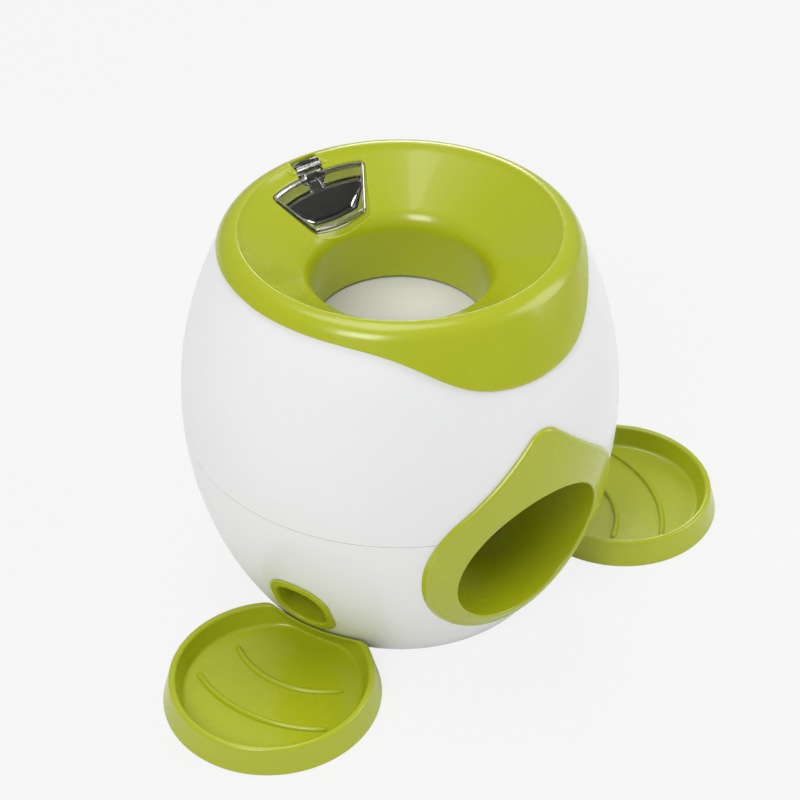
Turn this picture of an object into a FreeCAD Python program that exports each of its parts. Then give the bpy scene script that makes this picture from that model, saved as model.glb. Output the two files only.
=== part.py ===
import FreeCAD, Part
import math
import os
from types import SimpleNamespace

import Sketcher
from FreeCAD import Placement, Rotation, Vector

# Ball-drop treat dispenser: a ball dropped into the funnel tips a cup, the cup's axle turns two
# dosing drums, and the ball rolls out at the front while treats fall into the two side trays.
# Millimetres and degrees. +Z is up, the front (ball exit) faces -Y, and the origin is on the
# floor under the middle of the body.

# ---------------------------------------------------------------- driving dimensions

SIZES = {
    # egg-shaped body, widest at the equator: one arc runs down to the base, one up past the rim
    "body_radius": 125.0,
    "equator_height": 118.5,
    "base_radius": 90.53,
    "rim_inset": 4.72,
    "shell_wall": 2.6,
    "shell_bottom": 1.2,
    "shell_top_drop": 7.9,
    "seam_drop": 7.8,
    "seam_gap": 0.4,
    "lip_depth": 4.0,
    "lip_wall": 1.2,
    "part_gap": 0.2,
    # funnel top
    "rim_height": 231.5,
    "rim_radius": 88.5,
    "rim_inner_round": 7.0,
    "rim_inner_angle": 45.0,
    "bowl_round": 30.0,
    "bowl_angle": 36.0,
    "throat_round": 15.0,
    "throat_radius": 48.5,
    "throat_gap": 1.6,
    "throat_draft": 0.6,
    "funnel_wall": 2.2,
    "skirt_proud": 1.6,
    "skirt_low_drop": 37.8,
    "skirt_high_drop": 8.5,
    "skirt_wave_half": 54.0,
    "skirt_wave_soft": 26.0,
    # hatch in the back of the funnel
    "hatch_rim_inset": 7.5,
    "hatch_throat_inset": 4.4,
    "hatch_outer_half": 33.0,
    "hatch_inner_half": 18.5,
    "hatch_gap": 0.3,
    "hatch_side_gap": 1.0,
    "hatch_front_gap": 3.0,
    "lid_wall": 2.0,
    "frame_wall": 2.4,
    "window_ledge": 2.6,
    "window_front_ledge": 4.4,
    "window_outer_ledge": 5.5,
    "lid_rib": 1.2,
    "lid_rib_depth": 2.2,
    "neck_width": 10.0,
    "hinge_width": 16.4,
    "hinge_radius": 4.6,
    "hinge_inset": 2.1,
    "hinge_drop": 4.8,
    "hinge_gap": 0.3,
    "hinge_lug": 4.4,
    "hinge_pin_radius": 1.2,
    "hinge_pin_clearance": 0.05,
    "hinge_lug_radius": 4.2,
    "hinge_block": 7.4,
    "hinge_notch_depth": 12.5,
    "hinge_pin_inset": 0.4,
    "lid_rib_inset": 1.8,
    "scoop_radius": 12.0,
    "scoop_span": 40.0,
    "scoop_angle": 57.0,
    "scoop_depth": 1.0,
    # treat hopper
    "hopper_wall": 2.0,
    "hopper_front_reach": 11.5,
    "hopper_back_reach": 12.0,
    "hopper_throat_half": 27.0,
    "hopper_leg_overlap": 1.3,
    "hopper_shell_gap": 4.3,
    "hopper_leg_drop": 10.6,
    "hopper_leg_length": 18.0,
    "hopper_ridge_drop": 40.5,
    "hopper_shoulder_drop": 30.5,
    "hopper_collar_lap": 8.0,
    "hopper_collar_front": 1.0,
    "hopper_collar_back": 5.0,
    # ball exit
    "exit_radius": 48.5,
    "exit_height": 77.0,
    "exit_tilt": 10.0,
    "exit_depth": 50.0,
    "duct_wall": 2.2,
    "cut_reach": 30.0,
    "bezel_radius": 66.8,
    "bezel_height": 88.0,
    "bezel_shoulder": 51.0,
    "bezel_slope": 42.0,
    "bezel_tip": 13.0,
    "bezel_proud": 2.4,
    # treat outlets
    "side_angle": 68.6,
    "outlet_height": 40.5,
    "outlet_half_width": 22.0,
    "outlet_half_height": 26.0,
    "outlet_corner": 15.0,
    "outlet_hole_half_width": 16.8,
    "outlet_hole_half_height": 18.5,
    "outlet_hole_corner": 12.0,
    "outlet_wall": 1.6,
    "outlet_proud": 1.6,
    "outlet_depth": 20.0,
    # trays
    "tray_reach": 31.92,
    "tray_base_radius": 61.5,
    "tray_rim_radius": 57.3,
    "tray_height": 15.8,
    "tray_wall": 3.4,
    "tray_floor": 3.2,
    "tray_skin": 1.8,
    "tray_body_gap": 0.8,
    "tray_inner_slope": 3.0,
    "rib_center": 59.0,
    "rib_near_radius": 56.0,
    "rib_far_radius": 84.0,
    "rib_near_half": 36.5,
    "rib_far_half": 43.5,
    "rib_width": 1.6,
    "rib_rise": 1.3,
    "tray_floor_round": 4.0,
    "tongue_width": 30.0,
    "tongue_wall": 2.0,
    "tongue_length": 7.0,
    "tongue_height": 5.0,
    # tipping cup, its axle and the side frames
    "axle_shell_gap": 55.2,
    "axle_height": 155.4,
    "axle_radius": 3.0,
    "cup_radius": 51.0,
    "cup_rim_rise": 9.2,
    "cup_depth": 14.0,
    "cup_wall": 2.2,
    "cup_hub_radius": 7.0,
    "cup_arm": 3.0,
    "cup_arm_offset": 15.0,
    "cup_arm_start": 18.0,
    "tail_reach": 42.0,
    "tail_half": 5.0,
    "weight_radius": 7.5,
    "weight_half": 25.0,
    "weight_eye_wall": 2.5,
    "stop_radius": 2.5,
    "stop_offset": 6.0,
    "frame_offset": 44.0,
    "frame_plate": 3.0,
    "frame_head": 12.0,
    "frame_foot_gap": 1.7,
    "frame_foot_length": 25.0,
    "frame_foot_width": 7.0,
    "frame_hole": 6.0,
    "frame_foot_inset": 2.0,
    "bush_radius": 5.0,
    "bush_flange": 1.2,
    "bush_flange_radius": 7.0,
    "run_clearance": 0.05,
    # dosing drums, their housings and the chutes
    "drum_radius": 16.5,
    "drum_length": 22.0,
    "drum_pocket_radius": 6.0,
    "drum_pockets": 6,
    "housing_gap": 0.5,
    "housing_wall": 1.6,
    "chute_wall": 1.6,
    "chute_top_front": 25.0,
    "chute_top_back": 9.5,
    "chute_top_drop": 17.4,
    "chute_end_half_width": 15.0,
    "chute_end_half_height": 14.0,
    "chute_end_rise": 3.0,
    # ball ramp
    "ramp_radius": 38.0,
    "ramp_wall": 2.4,
    "ramp_slope": 13.0,
    "ramp_back": 40.0,
    "ramp_step": 1.0,
    "ramp_gap": 0.8,
    "ramp_leg": 3.0,
    "ramp_leg_half": 24.0,
    "ramp_front_leg": 48.0,
    "ramp_back_leg": 24.0,
    # base
    "base_wall": 2.6,
    "base_bottom": 1.6,
    "foot_radius": 8.0,
    "foot_taper": 0.6,
    "foot_inset": 19.5,
    "boss_radius": 4.0,
    "boss_inset": 7.5,
    "boss_height": 18.0,
    "boss_bore_clearance": 0.05,
    "screw_radius": 1.5,
    "screw_head_radius": 3.2,
    "screw_head": 1.2,
    "screw_length": 12.0,
}


# sizes that follow from the driving ones, in the sheet's own terms
DERIVED = {
    "rim_reach": "body_radius - rim_radius - rim_inset",
    "rim_rise": "rim_height - equator_height",
    "upper_flank": "(rim_reach * rim_reach + rim_rise * rim_rise) / (rim_reach * 2)",
    "base_reach": "body_radius - base_radius",
    "base_fall": "equator_height - shell_bottom",
    "lower_flank": "(base_reach * base_reach + base_fall * base_fall) / (base_reach * 2)",
    "shell_top": "rim_height - shell_top_drop",
    "seam_height": "equator_height - seam_drop",
    "skirt_low": "rim_height - skirt_low_drop",
    "skirt_high": "rim_height - skirt_high_drop",
    "hatch_outer_radius": "rim_radius - hatch_rim_inset",
    "hatch_inner_y": "throat_radius + throat_draft + hatch_throat_inset",
    "hinge_y": "rim_radius - hinge_inset",
    "hinge_notch_low": "rim_height - hinge_notch_depth",
    "cup_rim_height": "axle_height + cup_rim_rise",
    "throat_bottom": "cup_rim_height + throat_gap",
    "hopper_leg_bottom": "axle_height + hopper_leg_drop",
    "hopper_leg_top": "hopper_leg_bottom + hopper_leg_length",
    "hopper_ridge": "rim_height - hopper_ridge_drop",
    "hopper_shoulder": "rim_height - hopper_shoulder_drop",
    "chute_top_height": "axle_height - chute_top_drop",
}


class Size:
    """A size that carries its value and the sheet expression that gives it."""

    def __init__(self, value, text):
        self.value = float(value)
        self.text = text

    def __add__(self, other):
        other = size(other)
        return Size(self.value + other.value, f"({self.text} + {other.text})")

    def __sub__(self, other):
        other = size(other)
        return Size(self.value - other.value, f"({self.text} - {other.text})")

    def __mul__(self, other):
        other = size(other)
        return Size(self.value * other.value, f"({self.text} * {other.text})")

    def __truediv__(self, other):
        other = size(other)
        return Size(self.value / other.value, f"({self.text} / {other.text})")

    def __neg__(self):
        return Size(-self.value, f"(0 - {self.text})")

    def __radd__(self, other):
        return size(other) + self

    def __rsub__(self, other):
        return size(other) - self

    def __rmul__(self, other):
        return size(other) * self


def size(value):
    return value if isinstance(value, Size) else Size(value, repr(float(value)))


def root(value):
    return Size(math.sqrt(value.value), f"sqrt({value.text})")


def sine(angle):
    return Size(math.sin(math.radians(angle.value)), f"sin({angle.text})")


def cosine(angle):
    return Size(math.cos(math.radians(angle.value)), f"cos({angle.text})")


doc = FreeCAD.newDocument("TreatDispenser")
sheet = doc.addObject("Spreadsheet::Sheet", "Dims")
for row, (name, value) in enumerate(SIZES.items(), start=1):
    sheet.set(f"A{row}", name)
    sheet.set(f"B{row}", str(value))
    sheet.setAlias(f"B{row}", name)
doc.recompute()
for row, (name, formula) in enumerate(DERIVED.items(), start=len(SIZES) + 1):
    sheet.set(f"A{row}", name)
    sheet.set(f"B{row}", "=" + formula)
    sheet.setAlias(f"B{row}", name)
    doc.recompute()
S = SimpleNamespace(**{name: Size(sheet.get(name), f"Dims.{name}") for name in [*SIZES, *DERIVED]})
PAST = 2.0  # how far a cutting tool runs past the faces that it cuts
JOIN = 0.001  # how closely the faces of a ruled solid are joined
nodes = {}


# ---------------------------------------------------------------- modelling helpers

def node(label, shape_object):
    """Names a finished sub-part; the label is also its file's name."""
    shape_object.Label = label
    nodes[label] = shape_object
    return shape_object


def place(shape_object, x=0.0, y=0.0, z=0.0, axis=Vector(0, 0, 1), angle=0.0):
    shape_object.Placement = Placement(Vector(0, 0, 0), Rotation(axis, angle))
    for name, value in zip("xyz", (x, y, z)):
        value = size(value)
        if value.text != "0.0":
            shape_object.setExpression(f"Placement.Base.{name}", value.text)
    return shape_object


def arc_edge(start, end, radius, side):
    """The shorter arc from start to end; side is 1 with its centre on the left, -1 on the right."""
    middle = (start + end) * 0.5
    run = end - start
    rise = math.sqrt(max(radius * radius - run.Length ** 2 / 4, 0.0))
    left = Vector(-run.y, run.x, 0).normalize()
    center = middle + left * (rise * side)
    circle = Part.Circle(center, Vector(0, 0, 1), radius)
    first, last = (start, end) if side > 0 else (end, start)
    return Part.ArcOfCircle(circle, circle.parameter(first), circle.parameter(last))


def sketch_on(body, plane, outline):
    """A closed outline. A vertex is (x, y), or (x, y, radius, side) where an arc follows it."""
    sketch = body.newObject("Sketcher::SketchObject", "Outline")
    origin_plane = next(f for f in body.Origin.OriginFeatures if f.Role == plane)
    sketch.AttachmentSupport = (origin_plane, [""])
    sketch.MapMode = "FlatFace"
    points = [(size(vertex[0]), size(vertex[1])) for vertex in outline]
    count = len(outline)
    ends = []
    for index, vertex in enumerate(outline):
        start = Vector(points[index][0].value, points[index][1].value, 0)
        after = points[(index + 1) % count]
        end = Vector(after[0].value, after[1].value, 0)
        if len(vertex) == 2:
            sketch.addGeometry(Part.LineSegment(start, end), False)
            ends.append((1, 2))
        else:
            sketch.addGeometry(arc_edge(start, end, size(vertex[2]).value, vertex[3]), False)
            ends.append((1, 2) if vertex[3] > 0 else (2, 1))
    for index, vertex in enumerate(outline):
        after = (index + 1) % count
        sketch.addConstraint(Sketcher.Constraint("Coincident", index, ends[index][1], after, ends[after][0]))
        for kind, value in zip(("DistanceX", "DistanceY"), points[index]):
            number = sketch.addConstraint(
                Sketcher.Constraint(kind, -1, 1, index, ends[index][0], value.value))
            if "Dims" in value.text:
                sketch.setExpression(f"Constraints[{number}]", value.text)
        if len(vertex) > 2:
            radius = size(vertex[2])
            (x, y), (end_x, end_y) = points[index], points[after]
            run_x, run_y = end_x.value - x.value, end_y.value - y.value
            if abs(math.hypot(run_x, run_y) - 2 * radius.value) < 1e-6:
                # a half circle's radius follows from its ends, so its centre is held on the chord
                kind, value = ("DistanceY", (y + end_y) / 2.0) if abs(run_x) > abs(run_y) else (
                    "DistanceX", (x + end_x) / 2.0)
                number = sketch.addConstraint(Sketcher.Constraint(kind, -1, 1, index, 3, value.value))
                sketch.setExpression(f"Constraints[{number}]", value.text)
            else:
                number = sketch.addConstraint(Sketcher.Constraint("Radius", index, radius.value))
                sketch.setExpression(f"Constraints[{number}]", radius.text)
    return sketch


def revolved(name, outline):
    """A body turned about the Z axis from an outline of (radius, height) vertices."""
    body = doc.addObject("PartDesign::Body", name)
    sketch = sketch_on(body, "XZ_Plane", outline)
    turn = body.newObject("PartDesign::Revolution", "Turn")
    turn.Profile = sketch
    turn.ReferenceAxis = (sketch, ["V_Axis"])
    turn.Angle = 360
    body.Tip = turn
    return body


def padded(name, plane, outline, length, midplane=False):
    """A body padded from an outline along its plane's normal (XY up, XZ to the front, YZ to +X)."""
    body = doc.addObject("PartDesign::Body", name)
    sketch = sketch_on(body, plane, outline)
    pad = body.newObject("PartDesign::Pad", "Pad")
    pad.Profile = sketch
    pad.Midplane = midplane
    pad.setExpression("Length", size(length).text)
    body.Tip = pad
    return body


def cylinder(name, radius, length, x=0.0, y=0.0, z=0.0, axis=Vector(0, 0, 1), angle=0.0):
    shape_object = doc.addObject("Part::Cylinder", name)
    shape_object.setExpression("Radius", size(radius).text)
    shape_object.setExpression("Height", size(length).text)
    return place(shape_object, x, y, z, axis, angle)


def rod_x(name, radius, x_from, x_to, y, z):
    """A cylinder along X between two stations."""
    return cylinder(name, radius, size(x_to) - x_from, x_from, y, z, Vector(0, 1, 0), 90)


def box(name, x, y, z):
    """A box between (low, high) pairs."""
    shape_object = doc.addObject("Part::Box", name)
    for side, (low, high) in zip(("Length", "Width", "Height"), (x, y, z)):
        shape_object.setExpression(side, (size(high) - low).text)
    return place(shape_object, x[0], y[0], z[0])


def fuse(name, *shapes):
    fused = doc.addObject("Part::MultiFuse", name)
    fused.Shapes = list(shapes)
    fused.Refine = True
    return fused


def cut(name, base, *tools):
    result = doc.addObject("Part::Cut", name)
    result.Base = base
    result.Tool = tools[0] if len(tools) == 1 else fuse(name + "Tools", *tools)
    result.Refine = True
    return result


def common(name, first, second):
    result = doc.addObject("Part::Common", name)
    result.Base = first
    result.Tool = second
    result.Refine = True
    return result


def mirrored(name, source):
    mirror = doc.addObject("Part::Mirroring", name)
    mirror.Source = source
    mirror.Normal = Vector(1, 0, 0)
    return mirror


def radial_box(name, angle, start, length, half_width, low, height):
    """A box centred on a line that leaves the Z axis at an angle from +X."""
    shape_object = doc.addObject("Part::Box", name)
    shape_object.setExpression("Length", size(length).text)
    shape_object.setExpression("Width", (size(half_width) * 2.0).text)
    shape_object.setExpression("Height", size(height).text)
    return place(shape_object, cosine(angle) * start + sine(angle) * half_width,
                 sine(angle) * start - cosine(angle) * half_width, low, Vector(0, 0, 1), angle.value)


def solid_feature(name, shape):
    feature = doc.addObject("Part::Feature", name)
    feature.Shape = shape
    return feature


# ---------------------------------------------------------------- egg surface

def flank(height, offset=0.0):
    """Radius of the egg's flank at a height, moved out by an offset along the surface."""
    arc = S.lower_flank if size(height).value < S.equator_height.value else S.upper_flank
    reach = arc + offset
    rise = size(height) - S.equator_height
    return S.body_radius - arc + root(reach * reach - rise * rise)


def flank_run(start, end, offset=0.0):
    """Outline vertices along the flank from one height towards another, up or down, end not given."""
    first, last = size(start).value, size(end).value
    equator = S.equator_height.value
    side = 1 if last > first else -1
    stations = [start]
    if min(first, last) < equator < max(first, last):
        stations.append(S.equator_height)
    run = []
    for station, after in zip(stations, stations[1:] + [end]):
        middle = (size(station).value + size(after).value) / 2
        arc = S.lower_flank if middle < equator else S.upper_flank
        run.append((flank(station, offset), station, arc + offset, side))
    return run


def egg_solid(name, offset, bottom, top):
    """The egg's solid between two heights, its flank moved out by an offset."""
    return revolved(name, [(0.0, bottom), *flank_run(bottom, top, offset),
                           (flank(top, offset), top), (0.0, top)])


def side_point(distance):
    """The (x, y) of a point out along the right tray's direction."""
    return sine(S.side_angle) * distance, -(cosine(S.side_angle) * distance)


# ---------------------------------------------------------------- funnel surface

def funnel_curve(offset):
    """Key points of the funnel's top surface moved out by an offset, from throat to skirt."""
    offset = size(offset)
    edge = S.rim_inner_angle
    slope = S.bowl_angle
    inner = S.rim_inner_round + offset
    start_x = S.rim_radius - sine(edge) * S.rim_inner_round
    start_z = S.rim_height - S.rim_inner_round + cosine(edge) * S.rim_inner_round
    bowl_x = start_x - sine(edge) * S.bowl_round
    bowl_z = start_z + cosine(edge) * S.bowl_round
    bowl = S.bowl_round - offset
    throat_x = S.throat_radius + S.throat_draft + S.throat_round
    cone_x = throat_x - sine(slope) * S.throat_round
    cone_top_x = bowl_x + sine(slope) * S.bowl_round
    cone_top_z = bowl_z - cosine(slope) * S.bowl_round
    cone_z = cone_top_z - (cone_top_x - cone_x) * sine(slope) / cosine(slope)
    throat_z = cone_z - cosine(slope) * S.throat_round
    round_off = S.throat_round + offset
    across = S.rim_radius - S.body_radius + S.upper_flank
    up = S.rim_height - S.equator_height
    reach = S.upper_flank + S.skirt_proud
    outer = (reach * reach - across * across - up * up) / ((reach - up) * 2.0)
    return SimpleNamespace(
        throat=(S.throat_radius - offset, S.throat_bottom),
        wall_top=(S.throat_radius + S.throat_draft - offset, throat_z),
        cone_low=(throat_x - sine(slope) * round_off, throat_z + cosine(slope) * round_off),
        cone_high=(bowl_x + sine(slope) * bowl, bowl_z - cosine(slope) * bowl),
        rim_low=(bowl_x + sine(edge) * bowl, bowl_z - cosine(edge) * bowl),
        crest=(S.rim_radius, S.rim_height + offset),
        shoulder=(S.body_radius - S.upper_flank + across * (reach + offset) / (reach - outer),
                  S.equator_height + (up - outer) * (reach + offset) / (reach - outer)),
        throat_round=round_off, bowl_round=bowl, rim_round=inner, outer_round=outer + offset)


def funnel_band(name, high, low):
    """A layer of the funnel between two offsets, from the throat's wall to the rim's crest."""
    top = funnel_curve(high)
    under = funnel_curve(low)
    return revolved(name, [
        (*top.wall_top, top.throat_round, -1), top.cone_low,
        (*top.cone_high, top.bowl_round, 1), (*top.rim_low, top.rim_round, -1), top.crest,
        (*under.crest, under.rim_round, 1), (*under.rim_low, under.bowl_round, -1), under.cone_high,
        (*under.cone_low, under.throat_round, 1), under.wall_top])


def hatch_prism(name, side, front, back):
    """The hatch's plan outline, drawn in at its sides, its throat edge and its rim edge."""
    outer = S.hatch_outer_radius - back
    outer_half = S.hatch_outer_half - side
    inner_half = S.hatch_inner_half - side
    inner_y = S.hatch_inner_y + front
    corner_y = root(outer * outer - outer_half * outer_half)
    return padded(name, "XY_Plane", [
        (-inner_half, inner_y), (inner_half, inner_y),
        (outer_half, corner_y, outer, 1), (-outer_half, corner_y)], S.rim_height + PAST)


def skirt_edge(across):
    """Height of the skirt's lower edge at a distance from the middle: one dip at the front."""
    rise = math.tanh((across - S.skirt_wave_half.value) / S.skirt_wave_soft.value)
    return S.skirt_low.value + (S.skirt_high.value - S.skirt_low.value) * (1 + rise) / 2


def skirt_trimmer():
    """Everything under the skirt's lower edge, as a ring outside the funnel."""
    reach = (S.body_radius + S.cut_reach).value
    stations = 8
    edge_radius = flank(S.skirt_high, S.skirt_proud).value
    step = edge_radius / stations
    wave = [Vector(step * i, 0, skirt_edge(abs(step * i))) for i in range(-stations, stations + 1)]
    curve = Part.BSplineCurve()
    curve.interpolate(wave)
    floor = S.equator_height.value
    side = wave[-1].z
    corners = [wave[-1], Vector(reach, 0, side), Vector(reach, 0, floor),
               Vector(-reach, 0, floor), Vector(-reach, 0, side), wave[0]]
    front = Part.Face(Part.Wire([curve.toShape()] + Part.makePolygon(corners).Edges))
    front = front.extrude(Vector(0, -reach, 0))
    back = Part.makeBox(2 * reach, reach, side - floor, Vector(-reach, 0, floor))
    hole = Part.makeCylinder((S.rim_radius - S.lid_wall * 4.0).value, S.rim_height.value)
    return solid_feature("SkirtTrimmer", front.fuse(back).removeSplitter().cut(hole))


# ---------------------------------------------------------------- ball exit geometry

exit_y = -flank(S.exit_height)
exit_angle = -(90.0 - S.exit_tilt.value)


def exit_tube(name, radius):
    """A tube-shaped tool along the exit's tilted axis, from outside the body to the duct's end."""
    return cylinder(name, radius, S.exit_depth + S.cut_reach, 0.0,
                    exit_y - cosine(S.exit_tilt) * S.cut_reach,
                    S.exit_height - sine(S.exit_tilt) * S.cut_reach, Vector(1, 0, 0), exit_angle)


# the lowest point of the duct's inner end, where the ramp hands the ball over
duct_end_y = exit_y + cosine(S.exit_tilt) * S.exit_depth + sine(S.exit_tilt) * S.exit_radius
duct_end_z = S.exit_height + sine(S.exit_tilt) * S.exit_depth - cosine(S.exit_tilt) * S.exit_radius

# ---------------------------------------------------------------- side geometry

outlet_reach = flank(S.outlet_height)
outlet_start = outlet_reach - S.outlet_depth


def side_prism(name, half_width, half_height, corner, start, length):
    """A round-cornered bar pointing out along the right tray's direction."""
    low = S.outlet_height - half_height
    high = S.outlet_height + half_height
    bar = padded(name, "YZ_Plane", [
        (corner - half_width, low), (half_width - corner, low, corner, 1),
        (half_width, low + corner), (half_width, high - corner, corner, 1),
        (half_width - corner, high), (corner - half_width, high, corner, 1),
        (-half_width, high - corner), (-half_width, low + corner, corner, 1)], length)
    across, along = side_point(start)
    return place(bar, across, along, 0.0, Vector(0, 0, 1), S.side_angle.value - 90.0)


# ---------------------------------------------------------------- body shells

base_top = S.base_bottom + S.base_wall
base_edge = flank(S.base_bottom, -S.shell_wall) - S.part_gap
boss_circle = base_edge - S.boss_inset


def tongue_box(name, gap):
    """The right tray's tongue, grown by a gap; it reaches from the tray into the lower shell."""
    start = flank(S.tongue_height) - S.tongue_length - gap
    return radial_box(name, S.side_angle - 90.0, start, S.tongue_length * 2.0,
                      S.tongue_width / 2.0 + gap, S.tongue_height - gap, S.tongue_wall + gap * 2.0)


def ring(count, first_angle, radius):
    """Evenly spaced (x, y) points on a circle."""
    for index in range(count):
        angle = Size(first_angle + 360.0 * index / count, repr(first_angle + 360.0 * index / count))
        yield cosine(angle) * radius, sine(angle) * radius


def build_shells():
    seam_top = S.seam_height + S.seam_gap
    inner = -S.shell_wall
    lower = revolved("LowerWall", [
        *flank_run(S.shell_bottom, S.seam_height), (flank(S.seam_height), S.seam_height),
        *flank_run(S.seam_height, S.shell_bottom, inner), (flank(S.shell_bottom, inner), S.shell_bottom)])
    lip = S.lip_wall + S.part_gap
    upper = revolved("UpperWall", [
        *flank_run(seam_top, S.shell_top), (flank(S.shell_top), S.shell_top),
        *flank_run(S.shell_top, seam_top, inner), (flank(seam_top, inner), seam_top)])
    lip_low = seam_top - S.lip_depth
    tongue = revolved("SeamLip", [
        (flank(lip_low, inner - S.part_gap), lip_low, S.lower_flank + inner - S.part_gap, 1),
        (flank(seam_top, inner - S.part_gap), seam_top), (flank(seam_top, inner + S.lip_wall), seam_top),
        (flank(seam_top, inner + S.lip_wall), seam_top + S.lip_wall),
        (flank(seam_top + S.lip_wall, inner - lip), seam_top + S.lip_wall),
        (flank(lip_low, inner - lip), lip_low)])
    exit_hole = exit_tube("ExitHole", S.exit_radius + S.duct_wall + S.part_gap)
    window = S.outlet_wall + S.part_gap
    side_hole = side_prism("SideHole", S.outlet_hole_half_width + window,
                           S.outlet_hole_half_height + window,
                           S.outlet_hole_corner + window, outlet_start, S.outlet_depth * 2.0)
    bosses = []
    for number, (across, along) in enumerate(ring(4, 45.0, boss_circle), start=1):
        boss = cylinder(f"Boss{number}", S.boss_radius, S.boss_height, across, along, base_top)
        web = radial_box(f"BossWeb{number}", Size(90.0 * number - 45.0, repr(90.0 * number - 45.0)),
                         boss_circle, S.body_radius - boss_circle, S.lip_wall,
                         base_top, S.boss_height)
        bore = cylinder(f"BossBore{number}", S.screw_radius + S.boss_bore_clearance,
                        S.boss_height, across, along, base_top)
        bosses.append(cut(f"BossPost{number}", fuse(f"BossSolid{number}", boss, web), bore))
    trim = egg_solid("ShellInside", inner / 2.0, S.shell_bottom, S.seam_height)
    posts = common("BossPosts", fuse("AllBossPosts", *bosses), trim)
    slot = tongue_box("TongueSlot", S.part_gap)
    node("lower_shell", cut("LowerShell", fuse("LowerWithBosses", lower, posts), exit_hole,
                            side_hole, mirrored("SideHoleLeft", side_hole),
                            slot, mirrored("TongueSlotLeft", slot)))
    node("upper_shell", cut("UpperShell", fuse("UpperWithLip", upper, tongue),
                            exit_tube("ExitHoleUpper", S.exit_radius + S.duct_wall + S.part_gap)))


# ---------------------------------------------------------------- funnel and hatch

window = {"side": S.hatch_side_gap + S.window_ledge, "front": S.window_front_ledge,
          "back": S.window_outer_ledge}
hinge_half = S.hinge_width / 2.0 + S.hinge_gap
hinge_height = S.rim_height - S.hinge_drop
recess_depth = S.lid_wall + S.part_gap


def hinge_rod(name, radius, half_length):
    return rod_x(name, radius, -half_length, half_length, S.hinge_y, hinge_height)


def build_funnel():
    top = funnel_curve(0.0)
    under = funnel_curve(-S.funnel_wall)
    hem = S.skirt_low - PAST
    skin = revolved("FunnelSkin", [
        top.throat, (*top.wall_top, top.throat_round, -1), top.cone_low,
        (*top.cone_high, top.bowl_round, 1), (*top.rim_low, top.rim_round, -1),
        (*top.crest, top.outer_round, -1),
        (*top.shoulder, S.upper_flank + S.skirt_proud, -1),
        (flank(hem, S.skirt_proud), hem), (flank(hem, S.part_gap), hem, S.upper_flank + S.part_gap, 1),
        (flank(S.shell_top, S.part_gap), S.shell_top), (under.shoulder[0], S.shell_top),
        (*under.shoulder, under.outer_round, 1), (*under.crest, under.rim_round, 1),
        (*under.rim_low, under.bowl_round, -1), under.cone_high,
        (*under.cone_low, under.throat_round, 1), under.wall_top, under.throat])
    trimmed = cut("FunnelTrimmed", skin, skirt_trimmer())
    frame = common("HatchFrame", funnel_band("FrameBand", -S.funnel_wall / 2.0, -(recess_depth + S.frame_wall)),
                   hatch_prism("FramePrism", -S.frame_wall, -S.part_gap, -S.frame_wall))
    lugs = [rod_x(f"HingeLug{side}", S.hinge_lug_radius, start, start + S.hinge_lug,
                  S.hinge_y, hinge_height)
            for side, start in (("Left", -(hinge_half + S.hinge_lug)), ("Right", hinge_half))]
    recess = common("HatchRecess", funnel_band("RecessBand", PAST, -recess_depth),
                    hatch_prism("RecessPrism", 0.0, -S.hatch_front_gap, 0.0))
    opening = hatch_prism("HatchWindow", window["side"], window["front"], window["back"])
    neck_half = S.neck_width / 2.0 + S.hinge_gap
    neck = box("NeckSlot", (-neck_half, neck_half),
               (S.hatch_outer_radius - S.window_outer_ledge * 2.0, S.hinge_y),
               (S.throat_bottom, S.rim_height + PAST))
    notch = box("HingeNotch", (-hinge_half, hinge_half),
                (S.hinge_y - S.hinge_block - S.hatch_side_gap, S.hinge_y + S.hinge_radius + S.hinge_gap),
                (S.hinge_notch_low, S.rim_height + PAST))
    bore = hinge_rod("HingeBore", S.hinge_pin_radius + S.hinge_pin_clearance, hinge_half + S.hinge_lug)
    scoop = doc.addObject("Part::Torus", "FingerScoop")
    scoop_reach = S.throat_round + S.scoop_radius - S.scoop_depth
    throat_x = S.throat_radius + S.throat_draft + S.throat_round
    scoop.setExpression("Radius1", (throat_x - sine(S.scoop_angle) * scoop_reach).text)
    scoop.setExpression("Radius2", S.scoop_radius.text)
    scoop.setExpression("Angle3", S.scoop_span.text)
    place(scoop, 0.0, 0.0, top.wall_top[1] + cosine(S.scoop_angle) * scoop_reach,
          Vector(0, 0, 1), 90 - S.scoop_span.value / 2)
    node("funnel_top", cut("FunnelTop", fuse("FunnelWithFrame", trimmed, frame, *lugs),
                           recess, opening, neck, notch, bore, scoop))


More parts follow.
